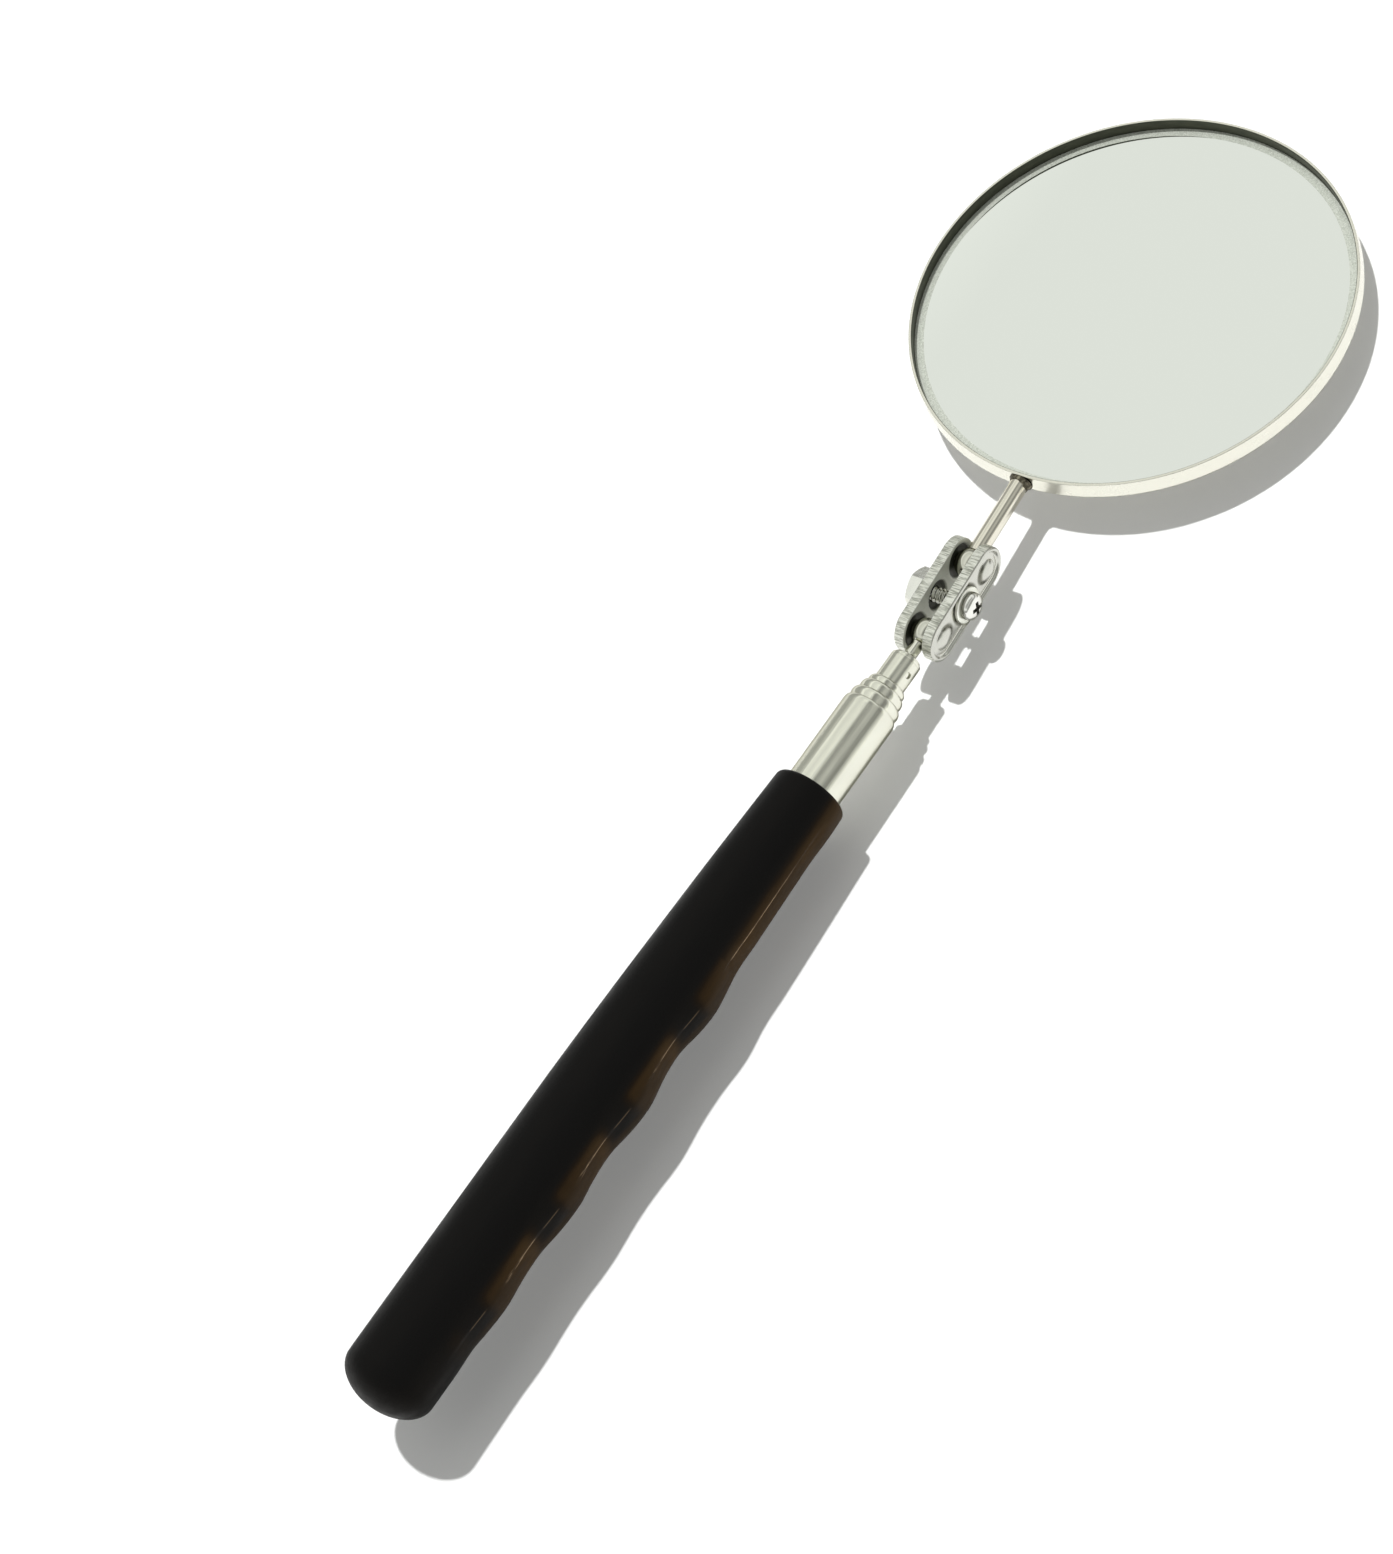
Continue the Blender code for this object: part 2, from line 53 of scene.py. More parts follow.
# Sizes that the CAD part also uses
GRIP_LENGTH = 128.3
GRIP_TOP_R = 6.75
GRIP_BODY_R = 8.30
GRIP_TAPER_START = 60.0
GRIP_DOME = 5.5
SWELL_FIRST = 86.5
SWELL_PITCH = 20.5
SWELL_COUNT = 4
SWELL_LAST = SWELL_FIRST - SWELL_PITCH * (SWELL_COUNT - 1)
SWELL_SIDE = radians(205)
WALL = 0.30
TUBE_R = (5.08, 4.55, 3.97, 3.42, 2.88)
TUBE_TOP = (146.6, 148.7, 150.7, 152.1, 157.8)
TUBE_BOTTOM = (4.3, 10.9, 14.3, 17.7, 21.1)
SLIDE_GAP = 0.05
LOWER_BALL_X = 163.9
BALL_SPACING = 15.4
BALL_R = 2.75
STUD_NECK_R = 1.2
STUD_BODY_LENGTH = 8.0
CROSS_PIN_R = 0.5
CROSS_PIN_X = 154.9
PLATE_END_R = 4.15
PLATE_INNER = 1.92
PLATE_OUTER = 3.60
SOCKET_R = 2.84
SCREW_R = 1.42
HEAD_HEIGHT = 1.85
HEAD_EDGE = 0.70
WASHER_R = 3.40
WASHER_THICKNESS = 0.70
NUT_ACROSS_FLATS = 7.00
NUT_THICKNESS = 2.90
SCREW_PAST_NUT = 0.4
FACE_GAP = 0.03
ROD_R = 1.70
MIRROR_FROM_BALL = 59.7
CASE_R = 41.275
CASE_HEIGHT = 3.80
CASE_SHEET = 0.60
SCREW_X = BALL_SPACING / 2
MIRROR_AT = (BALL_SPACING + MIRROR_FROM_BALL, 0, -CASE_HEIGHT / 2)

# Sizes of the details that only show
GRIP_MOUTH_ROUND = 0.95
GRIP_STEP = 0.45
CREASE_AT = radians(37)
CREASE_HALF = radians(3.5)
PARTING_HALF = radians(1.3)
PARTING_HEIGHT = 0.07
FRONT_FLAT_START = 94.3
FRONT_STROKE_END = 116.0
SHOULDER = 0.60
SHOULDER_CREST = 0.46
DOME_CURVE = 2.90
DOME_RISE = 0.88
DOME_STRETCH = 0.74
DOME_FOOT_R = 1.95
SCREW_HOLLOW_R = 3.1
SCREW_HOLLOW_DEPTH = 0.85
BALL_HOLLOW_R = 3.6
BALL_HOLLOW_DEPTH = 0.60
HEAD_R = 2.52
PIN_TURN = radians(17)
THREAD_PITCH = 0.80
THREAD_DEPTH = 0.34
GLASS_DEPTH = 2.35
GLASS_EDGE_BAND = 1.75
STUD_COLLAR = 0.45
STUD_COLLAR_R = 2.5
BEAD_LENGTH = (1.0, 1.9, 1.9, 1.3)
BEAD_RISE = (0.0, 0.17, 0.16, 0.13)
LIP_STEP = 0.12
MOUTH_BAND = 1.9
SEAM_DEPTH = 0.4
WALL_LEAN = 0.16

JOINTS = {joint["name"]: joint for joint in frame["joints"]}


def axes_at(origin, along, up):
    """A matrix with +X along the first direction and +Z as near as can be to the second."""
    x = Vector(along).normalized()
    y = Vector(up).cross(x).normalized()
    z = x.cross(y)
    matrix = Matrix((x, y, z)).transposed().to_4x4()
    matrix.translation = Vector(origin)
    return matrix


def mirror_up():
    mount = next(item for item in frame["record"]["mounts"] if item["name"] == "mirror_back")
    return -Vector(mount["axis"])


LOWER_BALL = Vector(JOINTS["lower_ball_swing"]["pos_m"])
HANDLE_DIRECTION = Vector(JOINTS["section_2_slide"]["axis"]).normalized()
HANDLE_END = LOWER_BALL - HANDLE_DIRECTION * LOWER_BALL_X * MM
TOOL = axes_at(HANDLE_END, HANDLE_DIRECTION, mirror_up())
SWIVEL = axes_at(LOWER_BALL, JOINTS["mirror_twist"]["axis"], mirror_up())


# ---- materials


# The tint that plated metal takes where light grazes it
GRAZING_TINT = (0.42, 0.41, 0.35, 1.0)
NICKEL = (0.80, 0.80, 0.70)


class Nodes:
    """Helpers for building a node tree."""

    def __init__(self, tree):
        self.nodes, self.links = tree.nodes, tree.links

    def add(self, kind, **values):
        node = self.nodes.new(kind)
        for key, value in values.items():
            setattr(node, key, value)
        return node

    def feed(self, socket, value):
        """Sets a socket to a number or colour, or links another node's output to it."""
        if isinstance(value, bpy.types.NodeSocket):
            self.links.new(value, socket)
        else:
            socket.default_value = value

    def maths(self, operation, *values):
        node = self.add("ShaderNodeMath", operation=operation)
        for socket, value in zip(node.inputs, values):
            self.feed(socket, value)
        return node.outputs[0]

    def span(self, value, start, end, low=0.0, high=1.0, shape="LINEAR"):
        """Maps a value that runs from start to end onto low to high."""
        node = self.add("ShaderNodeMapRange", interpolation_type=shape)
        names = ("Value", "From Min", "From Max", "To Min", "To Max")
        for name, given in zip(names, (value, start, end, low, high)):
            self.feed(node.inputs[name], given)
        return node.outputs["Result"]

    def ramp(self, value, stops):
        """A colour ramp through (position, colour) stops."""
        node = self.add("ShaderNodeValToRGB")
        elements = node.color_ramp.elements
        while len(elements) < len(stops):
            elements.new(0.5)
        for element, (position, colour) in zip(elements, stops):
            element.position = position
            element.color = (*colour, 1.0)
        self.links.new(value, node.inputs["Fac"])
        return node.outputs["Color"]

    def mix(self, share, first, second):
        node = self.add("ShaderNodeMix", data_type="RGBA")
        for name, value in (("Factor", share), ("A", first), ("B", second)):
            self.feed(node.inputs[name], value)
        return node.outputs["Result"]

    def split(self, place):
        """The X, Y and Z parts of one of the object's or world's own coordinates."""
        node = self.add("ShaderNodeSeparateXYZ")
        self.links.new(self.add("ShaderNodeTexCoord").outputs[place], node.inputs["Vector"])
        return node.outputs


class Finish(Nodes):
    """A Principled material with helpers for its procedural detail; noise sizes are in millimetres."""

    def __init__(self, name, colour, metallic, roughness):
        self.material = bpy.data.materials.new(name)
        self.material.use_nodes = True
        self.material.diffuse_color = (*colour, 1.0)
        super().__init__(self.material.node_tree)
        self.shader = self.nodes["Principled BSDF"]
        self.set("Base Color", (*colour, 1.0))
        self.set("Metallic", metallic)
        self.set("Roughness", roughness)
        self.normal = None

    def set(self, socket, value):
        self.feed(self.shader.inputs[socket], value)

    def attribute(self, name):
        """A number that weigh() has stored on the mesh's points."""
        return self.add("ShaderNodeAttribute", attribute_name=name).outputs["Fac"]

    def noise(self, size, detail=3.0, roughness=0.55):
        """Noise whose grain has the given size, or sizes along X, Y and Z."""
        size = size if isinstance(size, tuple) else (size,) * 3
        scale = self.add("ShaderNodeMapping")
        scale.inputs["Scale"].default_value = [1 / (length * MM) for length in size]
        grain = self.add("ShaderNodeTexNoise")
        grain.inputs["Scale"].default_value = 1.0
        grain.inputs["Detail"].default_value = detail
        grain.inputs["Roughness"].default_value = roughness
        self.links.new(self.add("ShaderNodeTexCoord").outputs["Object"], scale.inputs["Vector"])
        self.links.new(scale.outputs["Vector"], grain.inputs["Vector"])
        return grain.outputs["Fac"]

    def tint(self, value, stops):
        """Colours the surface through a ramp."""
        self.set("Base Color", self.ramp(value, stops))

    def vary(self, socket, value, low, high):
        """Lets a shader setting range from low to high with the middle of a noise."""
        self.set(socket, self.span(value, 0.3, 0.7, low, high))

    def bump(self, value, height):
        """Adds relief of the given height in millimetres, on top of any relief added before."""
        relief = self.add("ShaderNodeBump")
        relief.inputs["Strength"].default_value = 1.0
        relief.inputs["Distance"].default_value = height * MM
        self.links.new(value, relief.inputs["Height"])
        if self.normal:
            self.links.new(self.normal, relief.inputs["Normal"])
        self.normal = relief.outputs["Normal"]
        self.set("Normal", self.normal)


def plain_finish(name, colour, metallic, roughness, relief, height, patches, stops):
    """A finish with one relief grain and one patchy tint; relief and patches are noise sizes and details."""
    finish = Finish(name, colour, metallic, roughness)
    finish.bump(finish.noise(*relief), height)
    finish.tint(finish.noise(*patches), stops)
    return finish.material


def nickel(name, roughness, lines, depth, colour=NICKEL):
    """Bright nickel plate with fine drawing lines; lines is the grain's size along each axis."""
    finish = Finish(name, colour, 1.0, roughness)
    finish.set("Specular Tint", GRAZING_TINT)
    grain = finish.noise(lines, 4.0)
    finish.vary("Roughness", finish.noise((6.0, 2.0, 2.0)), roughness * 0.75, roughness * 1.35)
    finish.bump(grain, depth)
    finish.tint(finish.noise((9.0, 3.0, 3.0)), [
        (0.35, [c * 0.95 for c in colour]), (0.65, colour),
    ])
    return finish.material


def grip_finish():
    """Dipped vinyl: near black, with a brown painted light on the lit flanks of the finger side, and a pale
    painted highlight along the parting ridge.
    """
    finish = Finish("grip_vinyl", (0.0048, 0.0048, 0.0048), 0.0, 0.46)
    finish.set("Specular IOR Level", 0.06)
    finish.set("Specular Tint", (1.0, 0.80, 0.60, 1.0))
    painted_light = finish.attribute("painted_light")
    ridge_highlight = finish.attribute("ridge_highlight")
    mottled = finish.maths("MULTIPLY_ADD", finish.noise((7.0, 2.0, 2.0), 5.0), 0.9, 0.55)
    # Base colour: brown painted light on the finger side's lit flanks, over near-black vinyl
    lit_colour = finish.ramp(finish.maths("MULTIPLY", painted_light, mottled), [
        (0.0, (0.0046, 0.0047, 0.0048)), (0.30, (0.0105, 0.0068, 0.0040)), (1.0, (0.047, 0.0262, 0.0090)),
    ])
    # A pale painted highlight along the parting ridge
    finish.set("Base Color", finish.mix(ridge_highlight, lit_colour, (0.44, 0.31, 0.19, 1.0)))
    finish.vary("Roughness", finish.noise((7.0, 2.2, 2.2), 5.0), 0.38, 0.56)
    finish.bump(finish.noise(0.45), 0.020)
    finish.bump(finish.noise((14.0, 0.35, 0.35), 2.0), 0.012)
    return finish.material


def pressed_finish():
    """The plate's outer face: bright plate, with painted shade where the hollow attribute is high."""
    finish = Finish("pressed_plate", (0.60, 0.60, 0.55), 1.0, 0.20)
    painted_dark = finish.attribute("hollow")
    mottle = finish.maths("MULTIPLY_ADD", finish.noise(0.6, 4.0), 0.6, 0.7)
    # Painted shade round the washer and at the domes' feet, mottled by noise
    finish.tint(finish.maths("MULTIPLY", painted_dark, mottle), [
        (0.05, (0.60, 0.60, 0.55)), (0.45, (0.26, 0.26, 0.22)), (0.95, (0.07, 0.07, 0.05)),
    ])
    finish.vary("Roughness", finish.noise(1.6, 4.0), 0.13, 0.27)
    finish.bump(finish.noise(0.8, 4.0), 0.012)
    finish.bump(finish.noise(0.12, 2.0), 0.003)
    return finish.material


def socket_finish():
    """The plate's inner face: dull plate, with painted shade where the hollow attribute is high, mottled by noise.
    """
    finish = Finish("plate_inside", (0.66, 0.67, 0.60), 0.35, 0.42)
    hollow = finish.attribute("hollow")
    mottle = finish.maths("MULTIPLY_ADD", finish.noise(0.7, 4.0), 0.5, -0.25)
    finish.tint(finish.maths("ADD", hollow, mottle), [
        (0.05, (0.66, 0.67, 0.60)), (0.32, (0.34, 0.35, 0.29)), (0.68, (0.045, 0.047, 0.034)),
    ])
    finish.bump(finish.noise(0.5, 4.0), 0.03)
    finish.vary("Roughness", finish.noise(1.2), 0.30, 0.50)
    return finish.material


def braze_finish():
    finish = Finish("burnt_braze", (0.16, 0.145, 0.11), 1.0, 0.5)
    finish.tint(finish.noise(0.7, 4.0), [
        (0.32, (0.035, 0.030, 0.022)), (0.52, (0.15, 0.135, 0.10)), (0.70, (0.46, 0.42, 0.32)),
    ])
    finish.vary("Roughness", finish.noise(0.4), 0.30, 0.62)
    finish.bump(finish.noise(0.35, 4.0), 0.08)
    return finish.material


def rod_finish():
    """Nickel that the brazing heat has turned straw-coloured towards the mirror."""
    finish = Finish("mirror_rod_nickel", (0.78, 0.765, 0.68), 1.0, 0.13)
    finish.bump(finish.noise((7.0, 0.22, 0.22)), 0.010)
    finish.vary("Roughness", finish.noise((4.0, 1.2, 1.2)), 0.09, 0.18)
    start, end = (BALL_SPACING + 2.0) * MM, (BALL_SPACING + MIRROR_FROM_BALL - CASE_R) * MM
    finish.tint(finish.span(finish.split("Object")["X"], start, end), [
        (0.0, (0.78, 0.75, 0.65)), (0.66, (0.74, 0.68, 0.54)), (0.86, (0.46, 0.40, 0.28)),
        (1.0, (0.11, 0.095, 0.07)),
    ])
    return finish.material


def case_finish():
    """Satin nickel with faint rings left by the press tool."""
    finish = Finish("case_nickel", (0.80, 0.79, 0.70), 1.0, 0.24)
    finish.vary("Roughness", finish.noise((5.0, 5.0, 2.0), 4.0), 0.17, 0.31)
    finish.bump(finish.noise((2.5, 2.5, 0.12)), 0.010)
    return finish.material


def back_finish():
    """The case's flat back: fine circular turning marks and a few dull patches."""
    finish = Finish("case_back_nickel", (0.78, 0.775, 0.70), 1.0, 0.26)
    place = finish.add("ShaderNodeTexCoord")
    length = finish.add("ShaderNodeVectorMath", operation="LENGTH")
    grain = finish.add("ShaderNodeTexNoise", noise_dimensions="1D")
    grain.inputs["Scale"].default_value = 1 / (0.30 * MM)
    grain.inputs["Detail"].default_value = 3.0
    finish.links.new(place.outputs["Object"], length.inputs[0])
    finish.links.new(length.outputs["Value"], grain.inputs["W"])
    finish.bump(grain.outputs["Fac"], 0.008)
    finish.vary("Roughness", finish.noise(14.0, 4.0), 0.20, 0.36)
    return finish.material


def silver_finish():
    finish = Finish("silvered_glass", (0.885, 0.915, 0.875), 1.0, 0.0)
    finish.vary("Roughness", finish.noise(18.0), 0.000, 0.012)
    return finish.material


def nylon_finish():
    finish = Finish("white_nylon", (0.74, 0.73, 0.68), 0.0, 0.55)
    finish.set("Subsurface Weight", 0.15)
    finish.bump(finish.noise(0.4), 0.02)
    finish.vary("Roughness", finish.noise(2.0), 0.45, 0.62)
    return finish.material


FINISH = {
    "grip": grip_finish(),
    "tube": nickel("tube_nickel", 0.15, (14.0, 0.25, 0.25), 0.024),
    "mouth": nickel("rolled_mouth_nickel", 0.09, 0.7, 0.026),
    "stud": nickel("stud_nickel", 0.10, (0.20, 1.6, 1.6), 0.008),
    # The balls' nickel, darker than the rest as painted shade between the plates
    "ball": nickel("ball_nickel_shaded", 0.07, 0.9, 0.006, (0.66, 0.66, 0.58)),
    "screw": nickel("screw_nickel", 0.06, 0.5, 0.012, (0.86, 0.86, 0.82)),
    # The head's side band: the screw's nickel made darker, as painted shade
    "head_side_shade": nickel("screw_side_painted_shade", 0.10, 0.4, 0.02, (0.34, 0.34, 0.31)),
    # The cross recess and the tubes' seams, coloured dark as painted shade
    "recess": plain_finish(
        "recess_painted_shade", (0.10, 0.10, 0.085), 0.8, 0.35, (0.25,), 0.03,
        (0.35,), [(0.40, (0.035, 0.035, 0.028)), (0.66, (0.34, 0.34, 0.30))],
    ),
    "thread": nickel("thread_nickel", 0.10, 0.3, 0.015, (0.80, 0.80, 0.75)),
    "nut": nickel("nut_nickel", 0.12, 0.7, 0.010, (0.93, 0.935, 0.88)),
    "washer": nickel("washer_nickel", 0.38, 0.6, 0.014, (0.93, 0.94, 0.86)),
    "pin": nickel("pin_steel", 0.34, 0.3, 0.02, (0.34, 0.34, 0.31)),
    "plate": pressed_finish(),
    # The cut edge of the pressed plates: close scratches that run across the sheet's thickness
    "sheared": plain_finish(
        "sheared_edge", (0.72, 0.72, 0.66), 1.0, 0.34, ((0.18, 3.0, 0.18), 3.0, 0.7), 0.13,
        ((0.24, 2.4, 0.24),),
        [(0.36, (0.36, 0.37, 0.32)), (0.48, (0.66, 0.67, 0.60)), (0.60, (0.92, 0.93, 0.86))],
    ),
    "socket": socket_finish(),
    "braze": braze_finish(),
    "rod": rod_finish(),
    "case": case_finish(),
    "case_back": back_finish(),
    "inner_wall": plain_finish(
        "case_inner_wall", (0.115, 0.12, 0.085), 0.6, 0.42, ((1.5, 1.5, 0.15),), 0.015,
        ((3.0, 3.0, 0.5),), [(0.35, (0.055, 0.060, 0.042)), (0.70, (0.085, 0.090, 0.062))],
    ),
    "silver": silver_finish(),
    # The ground seam round the glass: pale, grainy and half matt
    "glass_edge": plain_finish(
        "ground_glass_edge", (0.50, 0.53, 0.47), 0.35, 0.42, (0.20, 2.0), 0.03, (0.25, 3.0, 0.7),
        [(0.30, (0.40, 0.43, 0.37)), (0.55, (0.60, 0.63, 0.56)), (0.75, (0.80, 0.83, 0.76))],
    ),
    "brass": plain_finish(
        "turned_brass", (0.76, 0.58, 0.27), 1.0, 0.30, ((0.15, 3.0, 3.0),), 0.012,
        (2.0,), [(0.35, (0.66, 0.48, 0.20)), (0.65, (0.80, 0.62, 0.31))],
    ),
    "bronze": plain_finish(
        "spring_bronze", (0.62, 0.42, 0.24), 1.0, 0.36, ((3.0, 0.3, 0.3),), 0.012,
        (2.0,), [(0.35, (0.50, 0.31, 0.17)), (0.65, (0.66, 0.46, 0.27))],
    ),
    "nylon": nylon_finish(),
    "pad": plain_finish(
        "backing_foam", (0.05, 0.05, 0.05), 0.0, 0.9, (0.3, 4.0), 0.08,
        (0.6,), [(0.35, (0.030, 0.030, 0.030)), (0.65, (0.075, 0.075, 0.075))],
    ),
}


# ---- mesh helpers

SHARP_ANGLE = 32.0
TURN_TO = {
    "X": Matrix.Identity(3),
    "Y": Matrix.Rotation(pi / 2, 3, "Z"),
    "-Y": Matrix.Rotation(-pi / 2, 3, "Z"),
    "Z": Matrix.Rotation(-pi / 2, 3, "Y"),
}


def ease(t):
    """A smooth step from 0 to 1."""
    t = min(max(t, 0.0), 1.0)
    return t * t * (3 - 2 * t)


def arc(along, radius, size, start, end, steps):
    """Points of an arc in an outline, about (along, radius), between two angles in degrees."""
    angles = [radians(start + (end - start) * i / steps) for i in range(steps + 1)]
    return [(along + size * cos(a), radius + size * sin(a)) for a in angles]


def quarter(steps):
    """Angles from 0 to a right angle."""
    return [radians(90 * i / steps) for i in range(steps + 1)]


def ring_of(along, turns, radius_at):
    """A ring of points about the X axis, with its radius worked out from the angle."""
    return [(along, r * cos(turn), r * sin(turn)) for r, turn in zip(map(radius_at, turns), turns)]


def even(sides):
    """Angles spaced evenly round a circle."""
    return [TAU * i / sides for i in range(sides)]


def circle(along, radius, sides):
    return ring_of(along, even(sides), lambda turn: radius)


def lofted(rings, capped=True):
    """A mesh through closed rings of points; capped fills the first and last."""
    bm = bmesh.new()
    rows = [[bm.verts.new(point) for point in ring] for ring in rings]
    for low, high in zip(rows, rows[1:]):
        count = len(low)
        for i in range(count):
            j = (i + 1) % count
            bm.faces.new((low[i], low[j], high[j], high[i]))
    if capped:
        bm.faces.new(rows[0])
        bm.faces.new(reversed(rows[-1]))
    return bm


def rotate(bm, matrix):
    bmesh.ops.rotate(bm, verts=bm.verts, cent=(0, 0, 0), matrix=matrix)


def turned(outline, sides, axis="X"):
    """A solid turned from (distance along the axis, radius) points; ends off the axis close into a ring."""
    loop = outline[0][1] > 0 or outline[-1][1] > 0
    points = outline + outline[:1] if loop else outline
    bm = lofted([circle(along, radius, sides) for along, radius in points], capped=False)
    rotate(bm, TURN_TO[axis])
    return bm


def finish_mesh(bm, sharp):
    """Cleans a mesh in millimetres, turns it into metres, and marks edges sharper than the angle."""
    bmesh.ops.remove_doubles(bm, verts=bm.verts, dist=0.0008)
    bmesh.ops.dissolve_degenerate(bm, edges=bm.edges, dist=0.0004)
    bmesh.ops.recalc_face_normals(bm, faces=bm.faces)
    bmesh.ops.scale(bm, vec=(MM, MM, MM), verts=bm.verts)
    mesh = bpy.data.meshes.new("mesh")
    bm.to_mesh(mesh)
    bm.free()
    mesh.shade_smooth()
    mesh.set_sharp_from_angle(angle=radians(sharp))
    return mesh


def add_object(name, data):
    item = bpy.data.objects.new(name, data)
    bpy.context.scene.collection.objects.link(item)
    return item


def make_object(name, bm, axes, at=(0, 0, 0), sharp=SHARP_ANGLE):
    """An object from a mesh in millimetres, placed in one of the two local frames."""
    mesh = finish_mesh(bm, sharp)
    mesh.name = name
    item = add_object(name, mesh)
    item.matrix_world = axes @ Matrix.Translation(Vector(at) * MM)
    return item


def make_piece(name, bm, axes, body, node, finishes, at=(0, 0, 0), sharp=SHARP_ANGLE):
    """A visible piece that stands for a CAD node and moves with its body."""
    item = make_object(name, bm, axes, at, sharp)
    for finish in finishes:
        item.data.materials.append(FINISH[finish])
    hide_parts(node)
    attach(item, body)
    return item


def paint(item, choose):
    """Gives each face the material that choose names for its centre and normal, in millimetres."""
    for face in item.data.polygons:
        face.material_index = choose(face.center / MM, face.normal)


def weigh(item, name, share):
    """Stores a number on each point, worked out from its place in millimetres, for a material to read."""
    layer = item.data.attributes.new(name, "FLOAT", "POINT")
    layer.data.foreach_set("value", [share(vert.co / MM) for vert in item.data.vertices])


def carve(item, cutter):
    """Cuts one mesh out of another for good, and removes the cutter."""
    bpy.context.view_layer.update()
    step = item.modifiers.new("carve", "BOOLEAN")
    step.operation = "DIFFERENCE"
    step.object = cutter
    evaluated = item.evaluated_get(bpy.context.evaluated_depsgraph_get())
    carved = bpy.data.meshes.new_from_object(evaluated)
    item.modifiers.clear()
    item.data = carved
    item.data.shade_smooth()
    item.data.set_sharp_from_angle(angle=radians(SHARP_ANGLE))
    bpy.data.objects.remove(cutter)


# ---- grip


def grip_body_radius(x):
    """The plain body: a domed end, a straight part and a taper to the mouth."""
    if x < GRIP_DOME:
        return GRIP_BODY_R * sqrt(max(0.0, 1 - ((GRIP_DOME - x) / GRIP_DOME) ** 2))
    along = max(0.0, (x - GRIP_TAPER_START) / (GRIP_LENGTH - GRIP_TAPER_START))
    return GRIP_BODY_R - (GRIP_BODY_R - GRIP_TOP_R) * along ** 1.6


def swell_height(x):
    """How far the finger side stands out from the body: strongest at the swell nearest the tube."""
    towards_tube = min(max((x - SWELL_LAST) / (SWELL_FIRST - SWELL_LAST), 0.0), 1.0)
    wave = 0.17 + 0.30 * towards_tube
    lift = 0.15 - 0.09 * towards_tube
    phase = cos(TAU * (x - SWELL_FIRST) / SWELL_PITCH)
    ends = ease((SWELL_FIRST + 0.75 * SWELL_PITCH - x) / (0.6 * SWELL_PITCH))
    start = ease((x - SWELL_LAST + 0.5 * SWELL_PITCH) / (0.5 * SWELL_PITCH))
    return (lift + wave * phase) * ends * start


def finger_flat(x):
    """How far the finger side is pressed in: a shallow flat in front of the swells, and their hollows."""
    front = ease((x - SWELL_FIRST - 4.0) / 9.0) * ease((GRIP_LENGTH - 3.5 - x) / 8.0)
    inside = ease((x - SWELL_LAST + 14.0) / 8.0) * ease((SWELL_FIRST + 6.0 - x) / 6.0)
    hollow = ease(0.5 - 0.6 * cos(TAU * (x - SWELL_FIRST + 1.5) / SWELL_PITCH))
    return 0.30 * front + 0.24 * inside * hollow


def from_swell_side(angle):
    """The angle round the grip between a point and the middle of its finger side."""
    return abs((angle - SWELL_SIDE + pi) % TAU - pi)


def grip_radius(x, angle):
    """The grip's radius: body, swells, pressed flats, parting strokes, a nick at the crease and slow dips."""
    away = from_swell_side(angle)
    share = ease((CREASE_AT + CREASE_HALF - away) / (2 * CREASE_HALF))
    broad = ease((radians(58) - away) / radians(26))
    radius = grip_body_radius(x) + swell_height(x) * broad
    radius -= finger_flat(x) * share * (0.55 + 0.45 * cos(away))
    radius += PARTING_HEIGHT * grip_parting_strokes(x, angle)
    nick = ease((0.9 - abs(x - FRONT_FLAT_START + 0.7)) / 0.6)
    nick *= ease((away - radians(22)) / radians(5))
    radius -= 0.16 * nick * ease((CREASE_AT + radians(1) - away) / radians(2))
    dips = noise.noise(Vector((x * 0.06, 2.2 * cos(angle), 2.2 * sin(angle))))
    return radius + 0.035 * dips * ease(x / 8.0)


def swell_phase(x):
    """Where x lies between one swell's crest (0) and the next one towards the tube (1)."""
    return ((x - SWELL_FIRST) / SWELL_PITCH) % 1.0


def grip_parting_strokes(x, angle):
    """Strokes on the parting line, raised a little and coloured as a pale painted highlight: one long one in front
    of the swells, short rough ones by them.
    """
    off = abs(from_swell_side(angle) - CREASE_AT) / PARTING_HALF
    torn = noise.noise(Vector((x * 0.8, angle * 30.0, 3.7)))
    if x > FRONT_FLAT_START:
        reach = ease((x - FRONT_FLAT_START) / 0.7) * ease((FRONT_STROKE_END - x) / 7.0)
        return max(0.0, 1 - off) * reach * (0.55 + 0.8 * ease(0.5 + torn))
    if x < 18.0 or x > SWELL_FIRST:
        return 0.0
    phase = swell_phase(x)
    thin = max(0.0, 1 - off) * ease((phase - 0.34) / 0.06) * ease((0.60 - phase) / 0.06)
    rough = max(0.0, 1 - off / 2.4) * ease((phase - 0.14) / 0.06) * ease((0.44 - phase) / 0.06)
    faint = max(0.0, 1 - off) * ease((phase - 0.66) / 0.05) * ease((0.90 - phase) / 0.05)
    return max(0.85 * thin, rough * ease(1.4 * torn + 0.1), 0.22 * faint)


